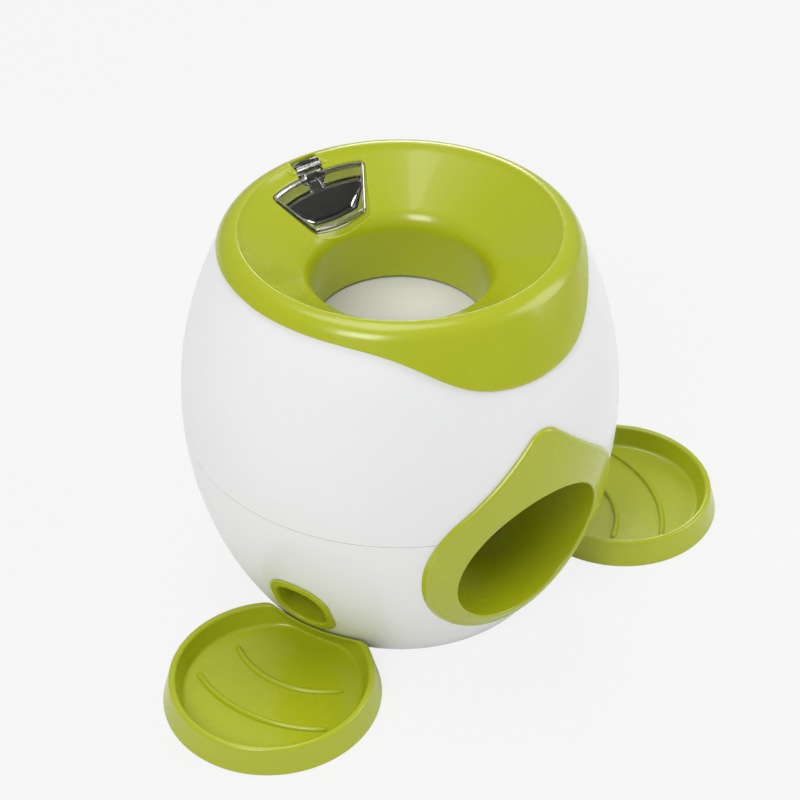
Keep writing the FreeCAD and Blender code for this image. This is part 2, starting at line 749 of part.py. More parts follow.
def build_hatch():
    plate = common("LidPlate", funnel_band("LidBand", 0.0, -S.lid_wall),
                   hatch_prism("LidPrism", S.hatch_side_gap, 0.0, S.hatch_gap))
    neck_half = S.neck_width / 2.0
    neck = common("LidNeck", funnel_band("NeckBand", 0.0, -S.lid_wall),
                  box("NeckBox", (-neck_half, neck_half),
                      (S.hatch_outer_radius - PAST, S.hinge_y), (S.throat_bottom, S.rim_height)))
    half = S.hinge_width / 2.0
    block = common("HingeBlock", funnel_band("BlockBand", 0.0, -(S.lid_wall + S.lid_rib)),
                   box("BlockBox", (-half, half),
                       (S.hinge_y - S.hinge_block, S.hinge_y), (S.throat_bottom, S.rim_height)))
    knuckle = hinge_rod("LidKnuckle", S.hinge_radius, half)
    side = window["side"] + S.hatch_side_gap
    front = window["front"] + S.lid_rib_inset
    back = window["back"] + S.hatch_gap
    outer = hatch_prism("LidRibOuter", side, front, back)
    inner = hatch_prism("LidRibInner", side + S.lid_rib, front + S.lid_rib, back + S.lid_rib)
    ribs = common("LidRibs", funnel_band("RibBand", -S.lid_wall / 2.0, -(S.lid_wall + S.lid_rib_depth)),
                  cut("LidRibFrame", outer, inner))
    bore = hinge_rod("LidBore", S.hinge_pin_radius + S.hinge_pin_clearance, hinge_half)
    node("hatch_lid", cut("HatchLid", fuse("LidSolid", plate, neck, block, knuckle, ribs), bore))
    node("hatch_hinge_pin", hinge_rod("HingePin", S.hinge_pin_radius,
                                      hinge_half + S.hinge_lug - S.hinge_pin_inset))


# ---------------------------------------------------------------- treat hopper

axle_y = flank(S.axle_height, -S.shell_wall) - S.axle_shell_gap
drum_start = S.frame_offset + S.frame_plate + S.bush_flange + S.housing_gap
drum_end = drum_start + S.drum_length
housing_end = drum_end + S.housing_gap + S.housing_wall
housing_inner = S.drum_radius + S.housing_gap
housing_outer = housing_inner + S.housing_wall


def axle_rod(name, radius, x_from, x_to):
    return rod_x(name, radius, x_from, x_to, axle_y, S.axle_height)


hopper_front = axle_y - S.hopper_front_reach
hopper_back = axle_y + S.hopper_back_reach
hopper_corner = flank(S.hopper_leg_top, -S.shell_wall) - S.hopper_shell_gap
hopper_side = root(hopper_corner * hopper_corner - hopper_back * hopper_back)


def hopper_outline(inset):
    """Front view of the hopper, symmetric: a mouth, two sloping shoulders and two legs."""
    inner, outer = drum_start + S.hopper_leg_overlap + inset, hopper_side - inset
    top, mouth = S.hopper_shoulder - inset, S.hopper_throat_half - inset
    right = [(inner, S.hopper_leg_bottom), (outer, S.hopper_leg_bottom),
             (outer, S.hopper_leg_top - inset), (mouth, top)]
    return right + [(-x, z) for x, z in reversed(right)] + [(0.0, S.hopper_ridge + inset)]


def build_hopper():
    depth = hopper_back - hopper_front
    wall = S.hopper_wall
    body = place(padded("HopperBody", "XZ_Plane", hopper_outline(size(0.0)), depth), 0.0, hopper_back)
    cavity = place(padded("HopperCavity", "XZ_Plane", hopper_outline(wall), depth - wall * 2.0),
                   0.0, hopper_back - wall)
    mouth_low = S.hopper_shoulder - S.hopper_collar_lap
    half = S.hopper_throat_half
    front = S.hatch_inner_y - S.hopper_collar_front
    back = S.hatch_outer_radius - S.hopper_collar_back
    collar = box("HopperCollar", (-half, half), (front, back), (mouth_low, S.rim_height))
    throat = box("HopperThroat", (-(half - wall), half - wall),
                 (front + wall, back - wall), (mouth_low, S.rim_height + PAST))
    under = funnel_curve(-(recess_depth + S.frame_wall + S.part_gap))
    above = revolved("HopperCeiling", [
        (0.0, S.throat_bottom), (under.throat[0], S.throat_bottom),
        (*under.wall_top, under.throat_round, -1), under.cone_low,
        (*under.cone_high, under.bowl_round, 1), (*under.rim_low, under.rim_round, -1), under.crest,
        (S.rim_radius, S.rim_height + PAST * 2.0), (0.0, S.rim_height + PAST * 2.0)])
    saddle = axle_rod("HopperSaddle", housing_outer + S.part_gap,
                      -(hopper_side + PAST), hopper_side + PAST)
    node("hopper", cut("Hopper", fuse("HopperSolid", body, collar), cavity, throat, above, saddle))


# ---------------------------------------------------------------- ball exit

def build_bezel():
    circle = S.bezel_radius
    shoulder = S.bezel_shoulder
    center = circle - shoulder
    slope = S.bezel_slope
    line_x = center + sine(slope) * shoulder
    line_z = S.bezel_height + cosine(slope) * shoulder
    tip_z = line_z + line_x * sine(slope) / cosine(slope) - S.bezel_tip / cosine(slope)
    tip_x = sine(slope) * S.bezel_tip
    spade = padded("BezelSpade", "XZ_Plane", [
        (-circle, S.bezel_height, circle, 1), (circle, S.bezel_height, shoulder, 1),
        (line_x, line_z), (tip_x, tip_z + cosine(slope) * S.bezel_tip, S.bezel_tip, 1),
        (-tip_x, tip_z + cosine(slope) * S.bezel_tip), (-line_x, line_z, shoulder, 1)],
        S.body_radius + S.cut_reach)
    outer = egg_solid("BezelOuter", S.bezel_proud, S.base_bottom, S.skirt_low)
    seat = egg_solid("BezelSeat", S.part_gap, S.base_bottom - PAST, S.skirt_low + PAST)
    flange = cut("BezelFlange", common("BezelSkin", outer, spade), seat)
    duct = common("ExitDuct", exit_tube("ExitDuctWall", S.exit_radius + S.duct_wall),
                  egg_solid("BezelLimit", S.bezel_proud, S.base_bottom, S.skirt_low))
    node("ball_exit_bezel", cut("BallExitBezel", fuse("BezelSolid", flange, duct),
                                exit_tube("ExitBore", S.exit_radius)))


# ---------------------------------------------------------------- treat outlets

def build_outlets():
    low, high = S.base_bottom, S.seam_height
    wide, tall, round_off = S.outlet_half_width, S.outlet_half_height, S.outlet_corner
    wall = S.outlet_wall
    plate = side_prism("OutletPlate", wide, tall, round_off, outlet_start, S.outlet_depth * 2.0)
    flange = cut("OutletFlange",
                 common("OutletSkin", egg_solid("OutletOuter", S.outlet_proud, low, high), plate),
                 egg_solid("OutletSeat", S.part_gap, low - PAST, high + PAST))
    hole_wide, hole_tall = S.outlet_hole_half_width, S.outlet_hole_half_height
    inner_round = S.outlet_hole_corner
    duct = common("OutletDuct", side_prism("OutletWall", hole_wide + wall, hole_tall + wall,
                                           inner_round + wall, outlet_start, S.outlet_depth * 2.0),
                  egg_solid("OutletLimit", S.outlet_proud, low, high))
    hole = side_prism("OutletHole", hole_wide, hole_tall, inner_round,
                      outlet_start - PAST, S.outlet_depth * 2.0)
    right = node("treat_outlet_right", cut("TreatOutlet", fuse("OutletSolid", flange, duct), hole))
    node("treat_outlet_left", mirrored("TreatOutletLeft", right))


# ---------------------------------------------------------------- trays

tray_distance = outlet_reach + S.tray_reach
tray_x, tray_y = side_point(tray_distance)


def tray_wall_out(height):
    """Radius of the tray's flared outer wall at a height."""
    return S.tray_base_radius - (S.tray_base_radius - S.tray_rim_radius) / S.tray_height * height


def tray_wall_in(height):
    """Radius of the tray's inner wall at a height."""
    slope = S.tray_inner_slope / (S.tray_height - S.tray_floor)
    return S.tray_rim_radius - S.tray_wall - (S.tray_height - size(height)) * slope


def rib_arc(name, radius, half_length):
    """A low rib on the tray's floor, an arc about a point nearer the body."""
    center = tray_distance - S.rib_center
    spread = root(radius * radius - half_length * half_length)
    inner = radius - S.rib_width
    spread_in = root(inner * inner - half_length * half_length)
    rib = padded(name, "XY_Plane", [
        (center + spread_in, -half_length), (center + spread, -half_length, radius, 1),
        (center + spread, half_length), (center + spread_in, half_length, inner, -1)],
        S.rib_rise + S.tray_skin / 2.0)
    return place(rib, 0.0, 0.0, S.tray_floor - S.tray_skin / 2.0, Vector(0, 0, 1), S.side_angle.value - 90.0)


def build_trays():
    height, skin, gap = S.tray_height, S.tray_skin, S.tray_body_gap
    crest = S.tray_wall / 2.0
    shoulder = height - crest
    under = height - skin
    floor_round = S.tray_floor_round
    outer, inner = tray_wall_out(shoulder), tray_wall_in(shoulder)
    corner = tray_wall_in(S.tray_floor)
    basin = place(revolved("TrayBasin", [
        (0.0, S.tray_floor), (corner - floor_round, S.tray_floor, floor_round, 1),
        (corner, S.tray_floor + floor_round), (inner, shoulder, (outer - inner) / 2.0, -1),
        (outer, shoulder), (S.tray_base_radius, 0.0), (S.tray_base_radius - skin, 0.0),
        (tray_wall_out(under) - skin, under), (tray_wall_in(under) + skin, under),
        (corner + skin, S.tray_floor), (corner + skin, 0.0), (corner - floor_round, 0.0),
        (corner - floor_round, S.tray_floor - skin), (0.0, S.tray_floor - skin)]), tray_x, tray_y)
    envelope = place(revolved("TrayEnvelope", [
        (0.0, 0.0), (S.tray_base_radius - skin, 0.0), (tray_wall_out(under) - skin, under), (0.0, under)]),
        tray_x, tray_y)
    fence = cut("TrayFence", common("TrayFenceArea", envelope,
                                    egg_solid("FenceOuter", gap + S.tray_wall, 0.0, S.seam_height)),
                egg_solid("FenceInner", gap, -PAST, S.seam_height + PAST))
    shell = cut("TrayShell", basin, egg_solid("TrayNotch", gap, -PAST, S.seam_height))
    ribs = common("TrayRibs", fuse("RibPair", rib_arc("RibNear", S.rib_near_radius, S.rib_near_half),
                                   rib_arc("RibFar", S.rib_far_radius, S.rib_far_half)), envelope)
    tongue = common("TrayTongue", tongue_box("TongueBox", size(0.0)),
                    egg_solid("TongueLimit", gap + S.tray_wall / 2.0, 0.0, S.seam_height))
    right = node("tray_right", fuse("TrayRight", shell, fence, tongue, ribs))
    node("tray_left", mirrored("TrayLeft", right))


# ---------------------------------------------------------------- tipping cup and axle

arm_half = S.cup_hub_radius - S.cup_arm / 4.0
tail_y = axle_y + S.tail_reach


def weight_rod(name, radius, x_from, x_to):
    return rod_x(name, radius, x_from, x_to, tail_y, S.axle_height)


def stop_pin(name, radius, overrun):
    """The cross rod under the cup's tail, from one side frame to the other."""
    end = S.frame_offset + S.frame_plate + overrun
    return rod_x(name, radius, -end, end, axle_y + S.stop_offset,
                 S.axle_height - arm_half - S.stop_radius - S.part_gap)


def build_cup():
    wall = S.cup_wall
    half = S.cup_radius - wall
    depth = S.cup_depth
    reach = (half * half + depth * depth) / (depth * 2.0)
    rim, bottom = S.cup_rim_height, S.cup_rim_height - depth
    middle = bottom + reach
    outer = reach + wall
    outer_z = middle - root(outer * outer - S.cup_radius * S.cup_radius)
    bowl = revolved("CupBowl", [
        (0.0, bottom, reach, 1), (half, rim), (S.cup_radius, rim),
        (S.cup_radius, outer_z, outer, -1), (0.0, bottom - wall)])
    start, end = S.cup_arm_start, S.cup_radius - wall
    beside = S.cup_arm_offset + S.cup_arm / 2.0
    follow = root((reach + wall / 2.0) * (reach + wall / 2.0) - beside * beside)
    arm_outline = [
        (start, middle - root(follow * follow - start * start), follow, 1),
        (end, middle - root(follow * follow - end * end)),
        (axle_y, S.axle_height + arm_half), (tail_y, S.axle_height + S.tail_half),
        (tail_y, S.axle_height - S.tail_half), (axle_y, S.axle_height - arm_half),
        (start + arm_half, bottom - S.cup_arm)]
    arms = []
    for side, offset in (("Left", -S.cup_arm_offset), ("Right", S.cup_arm_offset)):
        arm = padded(f"CupArm{side}", "YZ_Plane", arm_outline, S.cup_arm, midplane=True)
        arms.append(place(arm, offset))
        arms.append(weight_rod(f"WeightEye{side}", S.weight_radius + S.weight_eye_wall,
                               offset - S.cup_arm / 2.0, offset + S.cup_arm / 2.0))
    hub_end = S.frame_offset - S.housing_gap
    hub_rod = axle_rod("CupHub", S.cup_hub_radius, -hub_end, hub_end)
    bore = axle_rod("CupBore", S.axle_radius + S.run_clearance, -S.frame_offset, S.frame_offset)
    weight_bore = weight_rod("WeightBore", S.weight_radius + S.run_clearance,
                             -S.weight_half, S.weight_half)
    node("ball_cup", cut("BallCup", fuse("CupSolid", bowl, hub_rod, *arms), bore, weight_bore))
    node("tail_weight", weight_rod("TailWeight", S.weight_radius, -S.weight_half, S.weight_half))
    node("cup_axle", axle_rod("CupAxle", S.axle_radius, -drum_end, drum_end))


# ---------------------------------------------------------------- side frames and bushes

def build_frames():
    head, mid = S.frame_head, axle_y
    outer_face = S.frame_offset + S.frame_plate
    foot_side = S.frame_offset + S.frame_foot_width
    foot_corner = base_edge - S.frame_foot_gap
    foot_back = root(foot_corner * foot_corner - foot_side * foot_side)
    foot_front = foot_back - S.frame_foot_length
    plate = place(padded("FramePlate", "YZ_Plane", [
        (foot_front, base_top), (foot_back, base_top),
        (mid + head, S.axle_height, head, 1), (mid - head, S.axle_height)], S.frame_plate), S.frame_offset)
    foot = box("FrameFoot", (S.frame_offset, foot_side),
               (foot_front + S.frame_foot_inset, foot_back - S.frame_foot_inset),
               (base_top, base_top + S.frame_plate))
    foot_mid = (foot_front + foot_back) / 2.0
    holes = []
    for number in (1, 2, 3):
        share = number / 4
        holes.append(rod_x(f"FrameHole{number}", S.frame_hole, S.frame_offset - PAST, outer_face + PAST,
                           foot_mid + (mid - foot_mid) * share,
                           base_top + (S.axle_height - base_top) * share))
    bore = axle_rod("FrameBore", S.bush_radius + S.run_clearance, S.frame_offset - PAST, outer_face + PAST)
    right = node("side_frame_right", cut("SideFrame", fuse("FrameSolid", plate, foot), bore,
                                         stop_pin("StopHole", S.stop_radius + S.run_clearance, PAST),
                                         *holes))
    node("side_frame_left", mirrored("SideFrameLeft", right))
    node("stop_rod", stop_pin("StopRod", S.stop_radius, 0.0))
    sleeve = axle_rod("BushSleeve", S.bush_radius, S.frame_offset, outer_face)
    flange = axle_rod("BushFlange", S.bush_flange_radius, outer_face, outer_face + S.bush_flange)
    bush_bore = axle_rod("BushBore", S.axle_radius + S.run_clearance, S.frame_offset - PAST,
                         outer_face + S.bush_flange + PAST)
    right = node("axle_bush_right", cut("AxleBush", fuse("BushSolid", sleeve, flange), bush_bore))
    node("axle_bush_left", mirrored("AxleBushLeft", right))


# ---------------------------------------------------------------- dosing drums and housings

def circle_sketch(body, x, y, radius):
    sketch = body.newObject("Sketcher::SketchObject", "Round")
    origin_plane = next(f for f in body.Origin.OriginFeatures if f.Role == "YZ_Plane")
    sketch.AttachmentSupport = (origin_plane, [""])
    sketch.MapMode = "FlatFace"
    x, y, radius = size(x), size(y), size(radius)
    sketch.addGeometry(Part.Circle(Vector(x.value, y.value, 0), Vector(0, 0, 1), radius.value), False)
    for kind, value in (("DistanceX", x), ("DistanceY", y)):
        number = sketch.addConstraint(Sketcher.Constraint(kind, -1, 1, 0, 3, value.value))
        if "Dims" in value.text:
            sketch.setExpression(f"Constraints[{number}]", value.text)
    number = sketch.addConstraint(Sketcher.Constraint("Radius", 0, radius.value))
    sketch.setExpression(f"Constraints[{number}]", radius.text)
    return sketch


def build_drums():
    drum = doc.addObject("PartDesign::Body", "Drum")
    pad = drum.newObject("PartDesign::Pad", "DrumPad")
    pad.Profile = circle_sketch(drum, 0.0, 0.0, S.drum_radius)
    pad.setExpression("Length", S.drum_length.text)
    doc.recompute()
    pocket = drum.newObject("PartDesign::Pocket", "DosePocket")
    pocket.Profile = circle_sketch(drum, 0.0, S.drum_radius, S.drum_pocket_radius)
    pocket.setExpression("Length", (S.drum_length - S.housing_wall * 2.0).text)
    pocket.Reversed = True
    doc.recompute()
    pattern = drum.newObject("PartDesign::PolarPattern", "DosePockets")
    pattern.Originals = [pocket]
    pattern.Axis = (pad.Profile[0], ["N_Axis"])
    pattern.Angle = 360
    pattern.Occurrences = int(S.drum_pockets.value)
    drum.Tip = pattern
    doc.recompute()
    place(drum, drum_start, axle_y, S.axle_height)
    bore = axle_rod("DrumBore", S.axle_radius + S.run_clearance, drum_start - PAST, drum_end + PAST)
    right = node("dose_drum_right", cut("DoseDrum", drum, bore))
    node("dose_drum_left", mirrored("DoseDrumLeft", right))


def build_housings():
    start = S.frame_offset + S.frame_plate
    can = axle_rod("HousingCan", housing_outer, start, housing_end)
    hollow = axle_rod("HousingHollow", housing_inner, start - PAST, drum_end + S.housing_gap)
    inlet_half = S.drum_pocket_radius
    inlet = box("HousingInlet", (drum_start, drum_end), (axle_y - inlet_half, axle_y + inlet_half),
                (S.axle_height, S.axle_height + housing_outer + PAST))
    outlet = box("HousingOutlet", (drum_start, drum_end),
                 (axle_y - housing_outer - PAST, axle_y - inlet_half),
                 (S.axle_height - housing_outer - PAST, S.axle_height - S.axle_radius))
    right = node("drum_housing_right", cut("DrumHousing", can, hollow, inlet, outlet))
    node("drum_housing_left", mirrored("DrumHousingLeft", right))


def loft(name, low_corners, high_corners):
    """A solid between two four-cornered ends, each side ruled from edge to matching edge."""
    ends = [Part.makePolygon(corners + corners[:1]) for corners in (low_corners, high_corners)]
    sides = [Part.makeRuledSurface(low, high) for low, high in zip(ends[0].Edges, ends[1].Edges)]
    solid = Part.Solid(Part.Shell([Part.Face(end) for end in ends] + sides))
    solid.fix(JOIN, JOIN, JOIN)
    return solid_feature(name, solid)


def chute_ends(inset, overrun):
    """Corners of the right chute's outlet end and drum end, drawn in by an inset."""
    angle = math.radians(S.side_angle.value)
    out = Vector(math.sin(angle), -math.cos(angle), 0)
    across = Vector(math.cos(angle), math.sin(angle), 0)
    middle = out * (outlet_start - S.part_gap).value + Vector(0, 0, (S.outlet_height + S.chute_end_rise).value)
    half_width = S.chute_end_half_width.value - inset
    half_height = S.chute_end_half_height.value - inset
    low = [middle + across * (half_width * i) + Vector(0, 0, half_height * j)
           for i, j in ((-1, -1), (1, -1), (1, 1), (-1, 1))]
    near, far = drum_start.value + inset, drum_end.value - inset
    front = (axle_y - S.chute_top_front).value + inset
    back = (axle_y - S.chute_top_back).value - inset
    top = S.chute_top_height.value
    high = [Vector(near, back, top), Vector(far, back, top), Vector(far, front, top), Vector(near, front, top)]
    stretch = overrun / (middle - high[0]).Length
    shift = (middle - Vector((near + far) / 2, (front + back) / 2, top)) * stretch
    return [corner + shift for corner in low], [corner - shift for corner in high]


def build_chutes():
    outer = loft("ChuteOuter", *chute_ends(0.0, 0.0))
    inner = loft("ChuteInner", *chute_ends(S.chute_wall.value, PAST))
    right = node("treat_chute_right", cut("TreatChute", outer, inner))
    node("treat_chute_left", mirrored("TreatChuteLeft", right))


# ---------------------------------------------------------------- ball ramp

def build_ramp():
    start_y = duct_end_y + S.ramp_gap
    start_z = duct_end_z + S.ramp_step
    run = S.ramp_back - start_y
    slope = S.ramp_slope
    back_z = start_z + run * sine(slope) / cosine(slope)
    inner, outer = S.ramp_radius, S.ramp_radius + S.ramp_wall

    def lay(shape_object):
        return place(shape_object, 0.0, S.ramp_back, back_z, Vector(1, 0, 0), slope.value)

    length = run / cosine(slope)
    trough = lay(padded("RampTrough", "XZ_Plane", [
        (inner, inner, inner, -1), (-inner, inner), (-outer, inner, outer, 1), (outer, inner)], length))
    hollow = lay(padded("RampHollow", "XZ_Plane", [
        (-inner, inner, inner, 1), (inner, inner), (inner, inner * 2.0), (-inner, inner * 2.0)], length))
    end_wall = lay(padded("RampEnd", "XZ_Plane", [
        (-outer, inner, outer, 1), (outer, inner)], S.ramp_wall))
    legs = []
    for number, middle in ((1, -S.ramp_front_leg), (2, S.ramp_back_leg)):
        legs.append(box(f"RampLeg{number}", (-S.ramp_leg_half, S.ramp_leg_half),
                        (middle, middle + S.ramp_leg), (base_top, back_z)))
    body = cut("RampBody", fuse("RampSolid", trough, *legs), hollow)
    node("ball_ramp", fuse("BallRamp", body, end_wall))


# ---------------------------------------------------------------- base, feet and screws

def build_base():
    plate = cylinder("BasePlate", base_edge, S.base_wall, 0.0, 0.0, S.base_bottom)
    holes = [cylinder(f"BaseHole{number}", S.screw_radius + S.part_gap, S.base_wall * 2.0, x, y, 0.0)
             for number, (x, y) in enumerate(ring(4, 45.0, boss_circle), start=1)]
    node("base_plate", cut("BaseDisc", plate, *holes))
    for number, (x, y) in enumerate(ring(4, 0.0, base_edge - S.foot_inset), start=1):
        foot = doc.addObject("Part::Cone", f"Foot{number}")
        foot.setExpression("Radius1", (S.foot_radius - S.foot_taper).text)
        foot.setExpression("Radius2", S.foot_radius.text)
        foot.setExpression("Height", S.base_bottom.text)
        node(f"rubber_foot_{number}", place(foot, x, y, 0.0))
    for number, (x, y) in enumerate(ring(4, 45.0, boss_circle), start=1):
        head = cylinder(f"ScrewHead{number}", S.screw_head_radius, S.screw_head,
                        x, y, S.base_bottom - S.screw_head)
        shank = cylinder(f"ScrewShank{number}", S.screw_radius, S.screw_length, x, y, S.base_bottom)
        node(f"base_screw_{number}", fuse(f"Screw{number}", head, shank))


# ---------------------------------------------------------------- build and write

def check_document():
    failed = [f"{item.Name}, {item.getStatusString()}" for item in doc.Objects
              if "Invalid" in item.State or "Error" in item.State]
    failed += [label for label, item in nodes.items()
               if item.Shape.isNull() or not item.Shape.isValid() or not item.Shape.Solids]
    if failed:
        raise RuntimeError("not rebuilt: " + "; ".join(failed))


build_shells()
build_funnel()
build_hatch()
build_hopper()
build_bezel()
build_outlets()
build_trays()
build_cup()
build_frames()
build_drums()
build_housings()
build_chutes()
build_ramp()
build_base()
doc.recompute()
check_document()

os.makedirs("parts", exist_ok=True)
for label, item in nodes.items():
    item.Shape.exportStep(f"parts/{label}.step")
    print(label, len(item.Shape.Solids), "solid(s),", round(item.Shape.Volume / 1000.0, 2), "cm3")
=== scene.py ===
import math

import bmesh
import bpy
import numpy as np
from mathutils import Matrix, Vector


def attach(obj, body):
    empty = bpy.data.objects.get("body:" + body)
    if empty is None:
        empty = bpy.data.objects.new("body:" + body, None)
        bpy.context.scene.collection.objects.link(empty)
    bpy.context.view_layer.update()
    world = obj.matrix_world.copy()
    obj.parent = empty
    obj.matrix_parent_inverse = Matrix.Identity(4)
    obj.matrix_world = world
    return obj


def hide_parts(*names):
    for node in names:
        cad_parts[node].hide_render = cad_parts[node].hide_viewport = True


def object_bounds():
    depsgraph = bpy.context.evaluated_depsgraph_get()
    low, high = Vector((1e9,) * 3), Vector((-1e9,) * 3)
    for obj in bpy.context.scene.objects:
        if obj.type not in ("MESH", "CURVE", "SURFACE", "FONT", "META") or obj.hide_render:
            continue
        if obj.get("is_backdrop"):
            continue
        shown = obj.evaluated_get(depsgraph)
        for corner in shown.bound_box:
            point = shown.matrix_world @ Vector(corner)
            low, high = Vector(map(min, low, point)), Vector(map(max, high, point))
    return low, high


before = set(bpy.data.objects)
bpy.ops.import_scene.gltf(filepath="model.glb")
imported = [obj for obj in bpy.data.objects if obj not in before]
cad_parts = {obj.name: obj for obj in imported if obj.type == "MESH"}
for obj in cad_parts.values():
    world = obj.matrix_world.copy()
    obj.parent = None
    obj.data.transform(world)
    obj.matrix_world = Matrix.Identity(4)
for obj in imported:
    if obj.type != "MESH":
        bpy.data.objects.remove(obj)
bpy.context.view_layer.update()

# ---------------------------------------------------------------- egg shells
# Two white mouldings, thin walled, that meet in a lipped seam at the waist. The polished tool
# leaves a soft gloss, with the faint waviness and tone drift of thick white plastic.

WHITE = (0.83, 0.832, 0.835)


def node_maker(tree):
    """Adds a node with its settings and inputs, and gives its first output."""
    def add(kind, settings=None, **inputs):
        made = tree.nodes.new(kind)
        for key, value in (settings or {}).items():
            setattr(made, key, value)
        for key, value in inputs.items():
            socket = made.inputs[int(key[1:])] if key[0] == "i" and key[1:].isdigit() else \
                made.inputs[key.replace("_", " ")]
            if isinstance(value, bpy.types.NodeSocket):
                tree.links.new(value, socket)
            else:
                socket.default_value = value
        return made.outputs[0]
    return add


def moulded(name, colour, roughness, coat=0.0, wave=0.1, grain=0.1, shade=0.03,
            fine_scale=2200.0):
    """Moulded plastic: slow drift of tone, patchy gloss, faint waviness and fine grain."""
    material = bpy.data.materials.new(name)
    material.use_nodes = True
    tree = material.node_tree
    add = node_maker(tree)
    shader = tree.nodes["Principled BSDF"]
    place = tree.nodes.new("ShaderNodeTexCoord").outputs["Object"]
    drift = add("ShaderNodeTexNoise", None, Vector=place, Scale=11.0, Detail=2.0)
    smears = add("ShaderNodeTexNoise", None, Vector=place, Scale=45.0, Detail=2.0)
    fine = add("ShaderNodeTexNoise", None, Vector=place, Scale=fine_scale, Detail=2.0)
    dark = tuple(c * (1 - shade) for c in colour) + (1,)
    pale = tuple(min(c * (1 + shade), 1.0) for c in colour) + (1,)
    # a Mix node's colour inputs are its seventh and eighth, and its colour output is the third
    add("ShaderNodeMix", {"data_type": "RGBA"}, i0=drift, i6=dark, i7=pale)
    tree.links.new(tree.nodes[-1].outputs[2], shader.inputs["Base Color"])
    rough = add("ShaderNodeMapRange", None, i0=smears, i1=0.3, i2=0.7,
                i3=roughness * 0.92, i4=roughness * 1.1)
    tree.links.new(rough, shader.inputs["Roughness"])
    waves = add("ShaderNodeBump", None, Strength=wave, Distance=0.0006, Height=drift)
    skin = add("ShaderNodeBump", None, Strength=grain, Distance=0.00002, Height=fine,
               Normal=waves)
    tree.links.new(skin, shader.inputs["Normal"])
    shader.inputs["IOR"].default_value = 1.49
    shader.inputs["Coat Weight"].default_value = coat
    shader.inputs["Coat Roughness"].default_value = 0.05
    return material


def finish_nodes(material, *names):
    """Gives CAD nodes their finish."""
    for name in names:
        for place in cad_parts[name].material_slots:
            place.material = material


white_plastic = moulded("white_plastic", WHITE, roughness=0.34, coat=0.12, wave=0.05,
                        grain=0.05, shade=0.008)
finish_nodes(white_plastic, "lower_shell", "upper_shell")

# ---------------------------------------------------------------- funnel top
# A lime green moulding: a straight throat, a rounded lip, a sloping bowl and a full rim whose
# outer skirt laps over the white shell and dips in a wave at the front. Lengths are millimetres
# until `solid` makes the mesh in metres.

MM = 0.001
AROUND = 360
CREASE = math.radians(35.0)
EGG_RADIUS, EGG_EQUATOR, FLANK_ARC = 125.0, 118.5, 216.79
RIM_HEIGHT, RIM_RADIUS, RIM_ROUND, RIM_TURN = 231.5, 88.5, 1.3, 45.0
BOWL_ROUND, BOWL_SLOPE = 30.0, 36.0
THROAT_RADIUS, THROAT_FOOT, THROAT_DRAFT, THROAT_ROUND = 48.5, 166.2, 0.6, 15.0
THROAT_STEPS, SHOULDER_STEPS = 10, 24
SKIRT_PROUD, SKIRT_GAP, FUNNEL_WALL, UNDER_ROUND, UNDER_SKIP = 1.6, 0.2, 2.2, 0.8, 14
SKIRT_LOW, SKIRT_HIGH, WAVE_HALF, WAVE_SOFT, WAVE_RISE = 193.7, 223.0, 54.0, 26.0, 8.0
HEM_ROUND, HEM_BACK_DROP, INSIDE_DROP = 0.6, 0.15, 1.0
GREEN = (0.40, 0.45, 0.008)


def smooth(mesh):
    """Shades a mesh smooth, with its creases left sharp."""
    mesh.polygons.foreach_set("use_smooth", [True] * len(mesh.polygons))
    mesh.set_sharp_from_angle(angle=CREASE)


def solid(name, points, faces):
    """A mesh object from points in millimetres, welded, faced outwards and shaded smooth."""
    mesh = bpy.data.meshes.new(name)
    mesh.from_pydata([tuple(float(c) * MM for c in p) for p in points], [], faces)
    work = bmesh.new()
    work.from_mesh(mesh)
    bmesh.ops.remove_doubles(work, verts=work.verts, dist=0.002 * MM)
    bmesh.ops.recalc_face_normals(work, faces=work.faces)
    work.to_mesh(mesh)
    work.free()
    smooth(mesh)
    piece = bpy.data.objects.new(name, mesh)
    bpy.context.scene.collection.objects.link(piece)
    return piece


def loft(name, rings, closed=True):
    """Quads between rings of equal count. A closed section joins its last ring to its first,
    and an open one gets a flat cap at each end."""
    rings = [np.asarray(ring) for ring in rings]
    count = len(rings[0])
    points = np.concatenate(rings)
    pairs = [(k, (k + 1) % len(rings)) for k in range(len(rings) if closed else len(rings) - 1)]
    steps = [(j, (j + 1) % count) for j in range(count)]
    faces = [(a * count + j, a * count + k, b * count + k, b * count + j)
             for a, b in pairs for j, k in steps]
    if not closed:
        faces += [tuple(range(count)), tuple(range(len(points) - count, len(points)))]
    return solid(name, points, faces)


def combine(piece, operation, *tools):
    """Adds closed solids to a piece or cuts them out of it, then removes them."""
    for tool in tools:
        step = piece.modifiers.new("step", "BOOLEAN")
        step.object, step.operation, step.solver = tool, operation, "MANIFOLD"
    seen = piece.evaluated_get(bpy.context.evaluated_depsgraph_get())
    result = bpy.data.meshes.new_from_object(seen)
    piece.modifiers.clear()
    piece.data = result
    smooth(result)
    for tool in tools:
        bpy.data.objects.remove(tool)


def fitted(piece, material, slot, body, *replaced):
    """Gives a piece its finish and the body it rides on, and hides the CAD nodes it stands in for.
    """
    piece.data.materials.clear()
    piece.data.materials.append(material)
    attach(piece, body)
    if replaced:
        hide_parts(*replaced)


def flank(height, proud=0.0):
    """Radius of the egg at a height, or of a surface that stands proud of it."""
    reach = FLANK_ARC + proud
    return EGG_RADIUS - FLANK_ARC + np.sqrt(reach ** 2 - (np.asarray(height) - EGG_EQUATOR) ** 2)


def arc(middle, radius, first, last, steps):
    """Points of an arc in a section, its angles in degrees."""
    angle = np.radians(np.linspace(first, last, steps + 1))
    return [(middle[0] + radius * math.cos(a), middle[1] + radius * math.sin(a)) for a in angle]


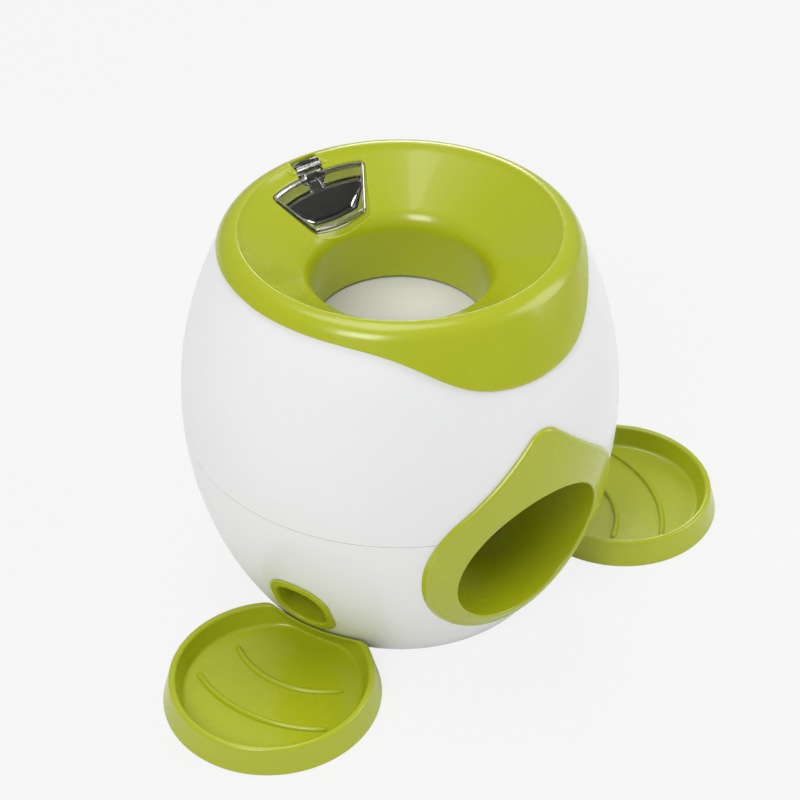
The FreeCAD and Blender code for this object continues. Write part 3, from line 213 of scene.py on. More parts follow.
def funnel_line(rim_round):
    """The funnel's top surface in section, from the throat's foot to the skirt's shoulder."""
    turn, slope = math.radians(RIM_TURN), math.radians(BOWL_SLOPE)
    start = (RIM_RADIUS - math.sin(turn) * rim_round,
             RIM_HEIGHT - rim_round * (1 - math.cos(turn)))
    bowl = (start[0] - math.sin(turn) * BOWL_ROUND, start[1] + math.cos(turn) * BOWL_ROUND)
    throat_x = THROAT_RADIUS + THROAT_DRAFT + THROAT_ROUND
    cone_x = throat_x - math.sin(slope) * THROAT_ROUND
    cone_top = (bowl[0] + math.sin(slope) * BOWL_ROUND, bowl[1] - math.cos(slope) * BOWL_ROUND)
    throat_z = (cone_top[1] - (cone_top[0] - cone_x) * math.tan(slope)
                - math.cos(slope) * THROAT_ROUND)
    across, up = RIM_RADIUS - EGG_RADIUS + FLANK_ARC, RIM_HEIGHT - EGG_EQUATOR
    reach = FLANK_ARC + SKIRT_PROUD
    outer = (reach ** 2 - across ** 2 - up ** 2) / ((reach - up) * 2)
    lean = math.degrees(math.atan2(up - outer, across))
    wall = [(THROAT_RADIUS + THROAT_DRAFT * k / THROAT_STEPS,
             THROAT_FOOT + (throat_z - THROAT_FOOT) * k / THROAT_STEPS)
            for k in range(THROAT_STEPS)]
    line = wall + arc((throat_x, throat_z), THROAT_ROUND, 180, 90 + BOWL_SLOPE, 24)
    cone = np.linspace(line[-1], cone_top, 12)[1:-1]
    line += [tuple(point) for point in cone]
    line += arc(bowl, BOWL_ROUND, BOWL_SLOPE - 90, RIM_TURN - 90, 10)
    line += arc((RIM_RADIUS, RIM_HEIGHT - rim_round), rim_round, 90 + RIM_TURN, 90, 12)[1:]
    line += arc((RIM_RADIUS, RIM_HEIGHT - outer), outer, 90, lean, SHOULDER_STEPS)[1:]
    return np.array(line)


FUNNEL_LINE = funnel_line(RIM_ROUND)


def under_line(depth):
    """The funnel's section line sunk by a depth, with enough round left under the rim."""
    line = funnel_line(max(RIM_ROUND, depth + UNDER_ROUND))
    lean = np.gradient(line, axis=0)
    lean /= np.linalg.norm(lean, axis=1)[:, None]
    return line + np.stack([lean[:, 1], -lean[:, 0]], 1) * depth


def funnel_height(x, y, depth=0.0):
    """Height of the funnel's surface, or of one a depth below it, over a point in plan."""
    line = under_line(depth)[THROAT_STEPS:]
    return np.interp(np.hypot(x, y), line[:, 0], line[:, 1])


def skirt_edge(across):
    """Height of the skirt's lower edge: one dip at the front."""
    rise = np.tanh((np.abs(across) - WAVE_HALF) / WAVE_SOFT)
    return SKIRT_LOW + (SKIRT_HIGH - SKIRT_LOW) * (1 + rise) / 2


def around_axis(radius, height):
    """A ring about the Z axis. Radius and height may vary round it."""
    angle = np.linspace(0, 2 * np.pi, AROUND, endpoint=False)
    return np.stack([radius * np.cos(angle), radius * np.sin(angle), height + 0 * angle], 1)


def skirt_rings():
    """Rings down the outside of the skirt, round its hem and back up inside."""
    angle = np.linspace(0, 2 * np.pi, AROUND, endpoint=False)
    hem = skirt_edge(flank(SKIRT_LOW + WAVE_RISE, SKIRT_PROUD) * np.cos(angle))
    hem = np.where(np.sin(angle) < 0, hem, SKIRT_HIGH - HEM_BACK_DROP)
    top = FUNNEL_LINE[-1, 1]
    rings = []
    for share in np.linspace(0, 1, 31)[1:]:
        height = top + (hem + HEM_ROUND - top) * share
        rings.append(around_axis(flank(height, SKIRT_PROUD), height))
    for turn in (30, 60, 90):
        drop = HEM_ROUND * math.sin(math.radians(turn))
        draw = HEM_ROUND * (1 - math.cos(math.radians(turn)))
        height = hem + HEM_ROUND - drop
        rings.append(around_axis(flank(height, SKIRT_PROUD - draw), height))
    for share in np.linspace(0, 1, 12):
        height = hem + (top - INSIDE_DROP - hem) * share
        rings.append(around_axis(flank(height, SKIRT_GAP), height))
    return rings


green_plastic = moulded("green_plastic", GREEN, roughness=0.26, coat=0.22, wave=0.035,
                        grain=0.01, shade=0.02)
outside = [around_axis(r, z) for r, z in FUNNEL_LINE]
inside = [around_axis(r, z) for r, z in under_line(FUNNEL_WALL)[::-1][UNDER_SKIP:]]
funnel_top = loft("funnel_moulding", outside + skirt_rings() + inside)

# ---------------------------------------------------------------- hatch opening
# A T-shaped opening moulded into the back of the bowl, with eased edges that are softer in front.
# In it lie a sunk ledge that carries the hatch, a window down into the treat hopper, a slot for
# the hatch's neck, and a lug each side that holds the hinge pin.

HATCH_RIM, HATCH_THROAT_Y, HATCH_FRONT_GAP = 81.0, 53.5, 3.0
HATCH_HALF_OUT, HATCH_HALF_IN = 33.0, 18.5
WINDOW_SIDE, WINDOW_FRONT, WINDOW_BACK = 3.6, 4.4, 5.5
HINGE_Y, HINGE_Z, HINGE_RADIUS, HINGE_HALF, HINGE_GAP = 86.4, 226.7, 4.6, 8.2, 0.3
NOTCH_HALF, NOTCH_BACK = HINGE_HALF + HINGE_GAP, HINGE_Y + HINGE_RADIUS + HINGE_GAP
LEDGE_DEPTH, LEDGE_WALL, LEDGE_EASE = 2.2, 2.4, 0.5
EDGE_ROUND, FRONT_ROUND, EDGE_STRIP, EDGE_LAP, LEDGE_LAP = 0.6, 0.9, 0.4, 0.3, 1.0
NECK_BEND, NECK_END_BEND = 1.2, 1.0
SLOT_HALF, SLOT_START, SLOT_WIDENS, SLOT_WIDE, SLOT_END, SLOT_BEND = 5.3, 70, 77, 78.5, 95, 1.5
OPENING_FOOT, SLOT_FOOT, ABOVE_RIM = 197.5, 200.0, 240.0


def rounded_path(corners, along=8, turns=6):
    """A closed plan outline of (x, y, radius) corners with the same number of points whatever its
    size. A corner of no radius gives one point."""
    corners = np.array(corners, float)
    rounds = []
    for before, here, after in zip(np.roll(corners, 1, 0), corners, np.roll(corners, -1, 0)):
        into = (here - before)[:2] / np.linalg.norm((here - before)[:2])
        out = (after - here)[:2] / np.linalg.norm((after - here)[:2])
        bend = math.atan2(into[0] * out[1] - into[1] * out[0], into @ out)
        reach = here[2] * math.tan(abs(bend) / 2)
        first = here[:2] - into * reach
        if here[2] == 0:
            rounds.append([here[:2]])
        else:
            side = math.copysign(1.0, bend) * np.array([-into[1], into[0]])
            middle = first + side * here[2]
            angle = np.linspace(0, bend, turns + 1)
            spoke = first - middle
            rounds.append([middle + (spoke[0] * math.cos(a) - spoke[1] * math.sin(a),
                                     spoke[0] * math.sin(a) + spoke[1] * math.cos(a))
                           for a in angle])
    path = []
    for k, bend_points in enumerate(rounds):
        path += [tuple(p) for p in bend_points]
        run = np.linspace(bend_points[-1], rounds[(k + 1) % len(rounds)][0], along + 1)[1:-1]
        path += [tuple(p) for p in run]
    return np.array(path)


def hatch_outline(side, front, rim, neck=None, back=None, bend=2.5):
    """Plan outline of the hatch drawn in at its sides, throat edge and rim edge, with its neck."""
    outer, half_out, half_in = HATCH_RIM - rim, HATCH_HALF_OUT - side, HATCH_HALF_IN - side
    lean = math.asin(half_out / outer)
    last = math.asin((neck or 0.0) / outer)
    arc_turns = np.linspace(lean, last, 7)[1:-1]
    right = [(outer * math.sin(a), outer * math.cos(a), 0) for a in arc_turns]
    corner = (half_out, outer * math.cos(lean), bend)
    if neck:
        shoulder = outer * math.cos(last)
        top = [(neck, shoulder, NECK_BEND), (neck, back, NECK_END_BEND),
               (-neck, back, NECK_END_BEND), (-neck, shoulder, NECK_BEND)]
    else:
        top = [(0.0, outer, 0)]
    left = [(-x, y, r) for x, y, r in reversed([corner] + right)]
    front_y = HATCH_THROAT_Y + front
    return rounded_path([(-half_in, front_y, bend), (half_in, front_y, bend), corner]
                        + right + top + left, along=5)


def grown(outline, amount):
    """A plan outline moved outwards along its normals."""
    along = np.roll(outline, -1, 0) - np.roll(outline, 1, 0)
    along /= np.linalg.norm(along, axis=1)[:, None]
    return outline + np.stack([along[:, 1], -along[:, 0]], 1) * np.reshape(amount, (-1, 1))


def on_funnel(outline, depth, drop=0.0):
    """An outline laid on the surface a depth below the funnel's, and then dropped straight down."""
    return np.column_stack([outline, funnel_height(outline[:, 0], outline[:, 1], depth) - drop])


def upright(outline, low, high):
    """A straight-sided solid over a plan outline."""
    ends = [np.column_stack([outline, np.full(len(outline), height)]) for height in (low, high)]
    return loft("prism", ends, closed=False)


def edge_rings(outline, easing, start, foot, outside_foot):
    """Rings over a strip of surface, round its eased edge and down its wall."""
    rings = [on_funnel(grown(outline, easing + EDGE_STRIP), start),
             on_funnel(grown(outline, easing), start)]
    for turn in (22.5, 45, 67.5, 90):
        a = math.radians(turn)
        rings.append(on_funnel(grown(outline, easing * (1 - math.sin(a))), start,
                               easing * (1 - math.cos(a))))
    rings += [on_funnel(outline, foot), on_funnel(grown(outline, outside_foot), foot)]
    return rings


recess = hatch_outline(0.0, -HATCH_FRONT_GAP, 0.0, NOTCH_HALF, NOTCH_BACK)
easing = EDGE_ROUND + (FRONT_ROUND - EDGE_ROUND) * np.clip(
    (HATCH_THROAT_Y - recess[:, 1]) / HATCH_FRONT_GAP, 0.0, 1.0)
combine(funnel_top, "DIFFERENCE",
        upright(grown(recess, easing + EDGE_STRIP), OPENING_FOOT, ABOVE_RIM))
fitted(funnel_top, green_plastic, "green_plastic", "housing", "funnel_top")
hatch_edge = loft("hatch_opening_edge", edge_rings(recess, easing, 0.0, LEDGE_DEPTH + EDGE_LAP,
                                                   easing + EDGE_STRIP))

ledge_outer = hatch_outline(0.0, -HATCH_FRONT_GAP, 0.0)
window = hatch_outline(WINDOW_SIDE, WINDOW_FRONT, WINDOW_BACK, bend=2.0)
ledge_foot = LEDGE_DEPTH + LEDGE_WALL
ledge_rings = [on_funnel(grown(ledge_outer, LEDGE_LAP), LEDGE_DEPTH),
               on_funnel(ledge_outer, LEDGE_DEPTH)]
ledge_rings += [on_funnel(window + (ledge_outer - window) * share, LEDGE_DEPTH)
                for share in (0.66, 0.33)]
ledge_rings += edge_rings(window, LEDGE_EASE, LEDGE_DEPTH, ledge_foot, EDGE_LAP)[1:-1]
ledge_rings += [on_funnel(grown(ledge_outer, LEDGE_LAP), ledge_foot)]
hatch_ledge = loft("hatch_ledge", ledge_rings)
neck_slot = rounded_path([(-SLOT_HALF, SLOT_START, 0), (SLOT_HALF, SLOT_START, 0),
                          (SLOT_HALF, SLOT_WIDENS, SLOT_BEND), (NOTCH_HALF, SLOT_WIDE, SLOT_BEND),
                          (NOTCH_HALF, SLOT_END, 0), (-NOTCH_HALF, SLOT_END, 0),
                          (-NOTCH_HALF, SLOT_WIDE, SLOT_BEND),
                          (-SLOT_HALF, SLOT_WIDENS, SLOT_BEND)], along=3)
combine(hatch_ledge, "DIFFERENCE", upright(neck_slot, SLOT_FOOT, ABOVE_RIM))


ROD_POINTS = 48
LUG_RADIUS, LUG_LENGTH, LUG_DROP = 4.2, 4.4, 0.6


def rod_along_x(name, radius, first, last, y, z, ease=0.3):
    """A round rod along X with eased ends."""
    angle = np.linspace(0, 2 * np.pi, ROD_POINTS, endpoint=False)
    near = ease * 0.3
    rings = []
    for x, r in ((first, radius - ease), (first + near, radius - near), (first + ease, radius),
                 (last - ease, radius), (last - near, radius - near), (last, radius - ease)):
        rings.append(np.stack([x + 0 * angle, y + r * np.cos(angle), z + r * np.sin(angle)], 1))
    return loft(name, rings, closed=False)


lugs = [rod_along_x("hinge_lug_" + side, LUG_RADIUS, first, first + LUG_LENGTH,
                    HINGE_Y, HINGE_Z - LUG_DROP)
        for side, first in (("right", NOTCH_HALF), ("left", -NOTCH_HALF - LUG_LENGTH))]
for piece in (hatch_edge, hatch_ledge, *lugs):
    fitted(piece, green_plastic, "green_plastic", "housing")

# ---------------------------------------------------------------- hatch lid and its pin
# A clear moulded lid, flush with the bowl: a T-shaped plate with a fine bead round its edge, a rib
# round its window, and a block and knuckle at the rim that turn on a ground steel pin.

LID_WALL, LID_SIDE_GAP, LID_GAP, LID_NECK, LID_BEND = 2.0, 1.0, 0.3, 5.0, 2.2
LID_TURN, LID_FOOT, NECK_LAP = 32, 190.0, 3.0
LID_BEAD = ((-1.7, 1.0), (-1.7, 0.1), (-1.4, -0.15), (-1.0, -0.3), (-0.6, -0.22), (-0.25, 0.0),
            (0.05, 0.35), (0.15, 0.8), (0.15, 1.5), (-0.1, 1.9), (-0.5, 2.1), (-1.4, 2.1))
RIB_INSET, RIB_WALL, RIB_DEPTH, RIB_NECK, RIB_LAP = 1.8, 1.2, 2.2, 4.6, 1.5
BLOCK_FRONT, BLOCK_EXTRA, BLOCK_FOOT_BEND, BLOCK_TOP_BEND = 79.0, 1.2, 0.5, 0.6
KNUCKLE_EASE = 0.5


def bowl_plate(name, outline, thickness):
    """A plate that follows the bowl: a band of the funnel's own skin, cut to an outline."""
    high, low = [under_line(depth)[THROAT_STEPS:len(FUNNEL_LINE) - SHOULDER_STEPS]
                 for depth in (0.0, thickness)]
    radius, height = np.concatenate([high, low[::-1]]).T
    turns = np.radians(np.linspace(-LID_TURN, LID_TURN, 2 * LID_TURN + 1))
    plate = loft(name, [np.stack([radius * math.sin(a), radius * math.cos(a), height], 1)
                        for a in turns], closed=False)
    combine(plate, "INTERSECT", upright(outline, LID_FOOT, ABOVE_RIM))
    return plate


clear_plastic = bpy.data.materials.new("clear_plastic")
clear_plastic.use_nodes = True
tree = clear_plastic.node_tree
add = node_maker(tree)
shader = tree.nodes["Principled BSDF"]
place = tree.nodes.new("ShaderNodeTexCoord").outputs["Object"]
ripple = add("ShaderNodeTexNoise", None, Vector=place, Scale=45.0, Detail=1.0)
haze = add("ShaderNodeTexNoise", None, Vector=place, Scale=300.0, Detail=4.0)
tree.links.new(add("ShaderNodeBump", None, Strength=0.12, Distance=0.001, Height=ripple),
               shader.inputs["Normal"])
tree.links.new(add("ShaderNodeMapRange", None, i0=haze, i1=0.35, i2=0.7, i3=0.01, i4=0.05),
               shader.inputs["Roughness"])
shader.inputs["Base Color"].default_value = (0.97, 0.975, 0.95, 1.0)
shader.inputs["Transmission Weight"].default_value = 1.0
shader.inputs["IOR"].default_value = 1.49

lid_edge = hatch_outline(LID_SIDE_GAP, 0.0, LID_GAP, LID_NECK, BLOCK_FRONT + NECK_LAP, LID_BEND)
lid = bowl_plate("hatch_lid_plate", lid_edge, LID_WALL)
sections = []
for y in np.linspace(BLOCK_FRONT, HINGE_Y, 9):
    top = float(funnel_height(0.0, y))
    low = top - LID_WALL - BLOCK_EXTRA
    section = rounded_path([(-HINGE_HALF, low, BLOCK_FOOT_BEND), (HINGE_HALF, low, BLOCK_FOOT_BEND),
                            (HINGE_HALF, top, BLOCK_TOP_BEND), (-HINGE_HALF, top, BLOCK_TOP_BEND)],
                           along=6, turns=4)
    sections.append(np.column_stack([section[:, 0], np.full(len(section), y), section[:, 1]]))
block = loft("hinge_block", sections, closed=False)
knuckle = rod_along_x("knuckle", HINGE_RADIUS, -HINGE_HALF, HINGE_HALF, HINGE_Y, HINGE_Z,
                      KNUCKLE_EASE)
rib_side, rib_front = WINDOW_SIDE + LID_SIDE_GAP, WINDOW_FRONT + RIB_INSET
rib_back = WINDOW_BACK + LID_GAP
rib_outer = hatch_outline(rib_side, rib_front, rib_back, RIB_NECK, BLOCK_FRONT + RIB_LAP, bend=2.0)
rib_inner = hatch_outline(rib_side + RIB_WALL, rib_front + RIB_WALL, rib_back + RIB_WALL,
                          RIB_NECK - RIB_WALL, BLOCK_FRONT + RIB_LAP - 1.0, bend=1.4)
rib_top, rib_foot = LID_WALL / 2, LID_WALL + RIB_DEPTH
rib = loft("lid_rib", [on_funnel(rib_outer, rib_top), on_funnel(rib_inner, rib_top),
                       on_funnel(rib_inner, rib_foot), on_funnel(rib_outer, rib_foot)])
bead = loft("lid_bead", [on_funnel(grown(lid_edge, grow), depth) for grow, depth in LID_BEAD])
combine(lid, "UNION", bead, block, knuckle, rib)
fitted(lid, clear_plastic, "clear_plastic", "hatch", "hatch_lid")

steel = bpy.data.materials.new("steel")
steel.use_nodes = True
tree = steel.node_tree
add = node_maker(tree)
shader = tree.nodes["Principled BSDF"]
place = tree.nodes.new("ShaderNodeTexCoord").outputs["Object"]
grind = add("ShaderNodeTexNoise", None, Vector=place, Scale=900.0, Detail=5.0)
tree.links.new(add("ShaderNodeMapRange", None, i0=grind, i1=0.3, i2=0.7, i3=0.18, i4=0.34),
               shader.inputs["Roughness"])
tree.links.new(add("ShaderNodeBump", None, Strength=0.2, Distance=0.00002, Height=grind),
               shader.inputs["Normal"])
shader.inputs["Base Color"].default_value = (0.62, 0.61, 0.6, 1.0)
shader.inputs["Metallic"].default_value = 1.0
finish_nodes(steel, "hatch_hinge_pin")

# ---------------------------------------------------------------- treat hopper
# A bin under the hatch, with two legs that feed the dosing drums. Its mouth is a short collar right
# under the window. It is coloured near black as painted shade for its closed, unlit inside, so it
# reads as a dark box through the clear lid.

# Near-black colour: painted shade standing in for the shadow inside the bin.
smoke_plastic = moulded("smoke_plastic", (0.045, 0.043, 0.036), roughness=0.22, coat=0.3,
                        shade=0.1)
finish_nodes(smoke_plastic, "hopper")

# ---------------------------------------------------------------- ball exit bezel
# A green spade-shaped plate snapped over the front of the egg. A soft bead runs round its edge,
# a finer one round its opening, and the ball duct behind it is moulded in one piece with it.

EXIT_RADIUS, EXIT_HEIGHT, EXIT_TILT, EXIT_DEPTH, DUCT_WALL = 48.5, 77.0, 10.0, 50.0, 2.2
EXIT_SEARCH, LIP_START = 60.0, 45.0
BEZEL_RADIUS, BEZEL_HEIGHT, BEZEL_SHOULDER, BEZEL_SLOPE, BEZEL_TIP = 66.8, 88.0, 51.0, 42.0, 13.0
BEZEL_PROUD, BEZEL_BORDER, LIP_ROUND = 2.1, 4.5, 1.3
BEZEL_BEAD = ((0.0, 0.3), (0.05, 0.7), (0.2, 1.15), (0.5, 1.7), (0.9, 2.1), (1.4, 2.37), (1.9, 2.4),
              (2.5, 2.22), (3.3, 2.06), (BEZEL_BORDER, BEZEL_PROUD))
TILT_COS, TILT_SIN = math.cos(math.radians(EXIT_TILT)), math.sin(math.radians(EXIT_TILT))
EXIT_MOUTH = np.array([0.0, -float(flank(EXIT_HEIGHT)), EXIT_HEIGHT])
EXIT_INWARD = np.array([0.0, TILT_COS, TILT_SIN])
EXIT_UPWARD = np.array([0.0, -TILT_SIN, TILT_COS])


def bezel_outline():
    """The spade in front view, as (x, z) points."""
    slope, middle = math.radians(BEZEL_SLOPE), BEZEL_RADIUS - BEZEL_SHOULDER
    line_x = middle + math.sin(slope) * BEZEL_SHOULDER
    line_z = BEZEL_HEIGHT + math.cos(slope) * BEZEL_SHOULDER
    tip_z = line_z + line_x * math.tan(slope) - BEZEL_TIP / math.cos(slope)
    right = arc((0, BEZEL_HEIGHT), BEZEL_RADIUS, -90, 0, 60)
    right += arc((middle, BEZEL_HEIGHT), BEZEL_SHOULDER, 0, 90 - BEZEL_SLOPE, 40)[1:]
    tip = arc((0, tip_z), BEZEL_TIP, 90 - BEZEL_SLOPE, 90, 14)
    right += [tuple(p) for p in np.linspace(right[-1], tip[0], 30)[1:-1]]
    right += tip
    return np.array(right + [(-x, z) for x, z in reversed(right[1:-1])])


def evenly(path, count):
    """Resamples a closed path to points evenly spaced along it."""
    path = np.concatenate([path, path[:1]])
    along = np.concatenate([[0], np.cumsum(np.linalg.norm(np.diff(path, axis=0), axis=1))])
    steps = np.linspace(0, along[-1], count, endpoint=False)
    return np.stack([np.interp(steps, along, path[:, k]) for k in (0, 1)], 1)


def on_front(outline, proud):
    """An (x, z) outline laid on the front of the egg, proud of it."""
    x, z = outline.T
    return np.stack([x, -np.sqrt(flank(z, proud) ** 2 - x ** 2), z], 1)


def exit_ring(angle, radius, inward):
    """Points round the duct's axis at some radius and some way in along it."""
    across = (np.array([1.0, 0.0, 0.0]) * np.cos(angle)[:, None]
              + EXIT_UPWARD * np.sin(angle)[:, None])
    return (EXIT_MOUTH + across * np.broadcast_to(radius, angle.shape)[:, None]
            + EXIT_INWARD * np.broadcast_to(inward, angle.shape)[:, None])


def exit_surface(angle, radius, proud):
    """How far in along the duct a circle of the duct meets the egg, or a surface proud of it."""
    low, high = np.full(len(angle), -EXIT_SEARCH), np.full(len(angle), EXIT_SEARCH)
    for _ in range(50):
        middle = (low + high) / 2
        point = exit_ring(angle, radius, middle)
        outside_egg = np.hypot(point[:, 0], point[:, 1]) > flank(point[:, 2], proud)
        low, high = np.where(outside_egg, middle, low), np.where(outside_egg, high, middle)
    return (low + high) / 2


def bezel_rings():
    """Rings over the bezel's edge and face, round its opening, in along the duct and back."""
    outline = evenly(bezel_outline(), AROUND)
    angle = np.arctan2(outline[:, 1] - EXIT_HEIGHT, outline[:, 0])
    rings = [on_front(outline, SKIRT_GAP)]
    rings += [on_front(grown(outline, -inset), proud) for inset, proud in BEZEL_BEAD]
    flat = grown(outline, -BEZEL_BORDER)
    bead, lip_start = EXIT_RADIUS + LIP_ROUND, math.radians(LIP_START)
    reach = bead + LIP_ROUND * math.cos(lip_start)
    meet = exit_surface(angle, reach, BEZEL_PROUD)
    lip = exit_ring(angle, reach, meet)[:, [0, 2]]
    rings += [on_front(flat + (lip - flat) * share, BEZEL_PROUD)
              for share in np.linspace(0, 1, 12)[1:]]
    deep = meet + LIP_ROUND * math.sin(lip_start)
    for turn in (62, 80, 98, 116, 134, 152, 166, 180):
        a = math.radians(turn)
        rings.append(exit_ring(angle, bead + LIP_ROUND * math.cos(a),
                               deep - LIP_ROUND * math.sin(a)))
    rings += [exit_ring(angle, EXIT_RADIUS, deep + (EXIT_DEPTH - deep) * share)
              for share in np.linspace(0, 1, 9)[1:]]
    duct = EXIT_RADIUS + DUCT_WALL
    back = exit_surface(angle, duct, SKIRT_GAP)
    rings += [exit_ring(angle, duct, EXIT_DEPTH), exit_ring(angle, duct, back)]
    seat = exit_ring(angle, duct, back)[:, [0, 2]]
    rings += [on_front(seat + (outline - seat) * share, SKIRT_GAP)
              for share in (0.2, 0.4, 0.6, 0.8)]
    return rings


bezel = loft("ball_exit_moulding", bezel_rings())
fitted(bezel, green_plastic, "green_plastic", "housing", "ball_exit_bezel")

# ---------------------------------------------------------------- treat outlets
# Two green round-cornered plates at the foot of the egg, one above each tray, almost flush, with a
# soft roll into a deep opening and a short duct behind.

SIDE_ANGLE = 68.6
OUTLET_HEIGHT, OUTLET_DEPTH, OUTLET_WALL, OUTLET_PROUD = 40.5, 20.0, 1.6, 1.6
OUTLET_PLATE, OUTLET_HOLE = (19.6, 22.6, 17.0), (14.6, 16.0, 12.5)
OUTLET_ROLL, OUTLET_EDGE, OUTLET_BORDER, OUTLET_THROAT, OUTLET_POINTS = 2.6, 0.5, 2.4, 8, 200


def side_axes(side):
    """The outward and sideways directions of the treat outlet on one side, +1 on the right."""
    turn = math.radians(SIDE_ANGLE)
    return (np.array([side * math.sin(turn), -math.cos(turn), 0.0]),
            np.array([math.cos(turn), side * math.sin(turn), 0.0]))


def rounded_rect(half_width, half_height, corner):
    """Points round a rounded rectangle at even steps along its edge."""
    path = rounded_path([(half_width, -half_height, corner), (half_width, half_height, corner),
                         (-half_width, half_height, corner), (-half_width, -half_height, corner)],
                        turns=16)
    return evenly(path, OUTLET_POINTS)


def outlet_ring(side, outline, proud=None, reach=None):
    """An outlet outline of (sideways, height) points, on the egg or at a reach from its axis."""
    outward, across = side_axes(side)
    if reach is None:
        reach = np.sqrt(flank(OUTLET_HEIGHT + outline[:, 1], proud) ** 2 - outline[:, 0] ** 2)
    ring = outline[:, :1] * across + outward * np.broadcast_to(reach, len(outline))[:, None]
    ring[:, 2] = OUTLET_HEIGHT + outline[:, 1]
    return ring


def outlet_rings(side):
    """Rings over an outlet's edge and face, round its roll, in along its duct and back."""
    plate, hole = rounded_rect(*OUTLET_PLATE), rounded_rect(*OUTLET_HOLE)
    rolled = grown(hole, OUTLET_ROLL)
    rings = [outlet_ring(side, plate, SKIRT_GAP), outlet_ring(side, plate, OUTLET_EDGE)]
    for inset in (0.3, 0.8, 1.5, OUTLET_BORDER):
        rise = math.sqrt(1 - (1 - inset / OUTLET_BORDER) ** 2)
        rings.append(outlet_ring(side, grown(plate, -inset),
                                 OUTLET_EDGE + (OUTLET_PROUD - OUTLET_EDGE) * rise))
    flat = grown(plate, -OUTLET_BORDER)
    rings += [outlet_ring(side, flat + (rolled - flat) * share, OUTLET_PROUD)
              for share in (0.5, 1.0)]
    outward = side_axes(side)[0]
    for turn in (15, 30, 45, 60, 75, 90):
        a = math.radians(turn)
        ring = outlet_ring(side, grown(hole, OUTLET_ROLL * (1 - math.sin(a))), OUTLET_PROUD)
        rings.append(ring - outward * OUTLET_ROLL * (1 - math.cos(a)))
    start = float(flank(OUTLET_HEIGHT)) - OUTLET_DEPTH
    duct = grown(hole, OUTLET_WALL)
    rings += [outlet_ring(side, hole, reach=start + OUTLET_THROAT),
              outlet_ring(side, hole, reach=start),
              outlet_ring(side, duct, reach=start), outlet_ring(side, duct, SKIRT_GAP)]
    rings += [outlet_ring(side, duct + (plate - duct) * share, SKIRT_GAP)
              for share in (0.35, 0.7)]
    return rings


for side, word in ((1, "right"), (-1, "left")):
    outlet = loft("outlet_moulding_" + word, outlet_rings(side))
    fitted(outlet, green_plastic, "green_plastic", "housing", "treat_outlet_" + word)

# ---------------------------------------------------------------- treat trays
# Two green round dishes, each held by a flat tongue that slides in under the egg's foot. A dish
# has a flared outer wall, a full round rim, a hollow underside, a curved notch that fits the egg,
# and two raised ribs across its floor.

TRAY_REACH, TRAY_BASE, TRAY_RIM, TRAY_HEIGHT = 142.4, 61.5, 57.3, 15.8
TRAY_WALL, TRAY_FLOOR, TRAY_SKIN, TRAY_GAP, TRAY_SLOPE, FLOOR_ROUND = 3.4, 3.2, 1.8, 0.8, 3.0, 2.6
FOOT_EASE, FOOT_DRAW, UNDER_SHARE, FLOOR_SHARE, FLOOR_LAP = 0.4, 0.3, 0.45, 0.55, 1.2
FLOOR_CREEP = 0.6
RIB_MIDDLE, TRAY_RIB_WIDTH, TRAY_RIB_RISE, TRAY_RIB_SINK = 59.0, 3.0, 2.0, 0.6
RIB_SPREAD, RIB_BLUNT, RIB_TIP = 0.25, 30, 0.03
TRAY_RIBS = ((56.0, 36.5), (84.0, 43.5))
FENCE_WALL, HORN_SHARP, TRAY_POINTS = 1.8, 34.0, 480
TONGUE_WIDTH, TONGUE_WALL, TONGUE_LENGTH, TONGUE_HEIGHT = 30.0, 2.0, 7.0, 5.0
TONGUE_RUN, TONGUE_BEND, TONGUE_ROOT, TONGUE_EASE = 9.5, 2.0, 0.5, 0.3


def tray_outline(radius, height, gap):
    """Plan outline of a dish of some radius with the egg's foot taken out, about the dish's middle;
    x points away from the egg. The two horns are rounded off."""
    turn = np.linspace(0, 2 * np.pi, TRAY_POINTS, endpoint=False)
    egg = float(flank(height, gap))
    ahead, aside = -TRAY_REACH * np.cos(turn), TRAY_REACH * np.sin(turn)
    meets = (ahead > 0) & (np.abs(aside) < egg)
    to_egg = np.where(meets, ahead - np.sqrt(np.maximum(egg ** 2 - aside ** 2, 0.0)),
                      4 * TRAY_REACH)
    reach = (radius ** -HORN_SHARP + to_egg ** -HORN_SHARP) ** (-1 / HORN_SHARP)
    return np.stack([reach * np.cos(turn), reach * np.sin(turn)], 1)


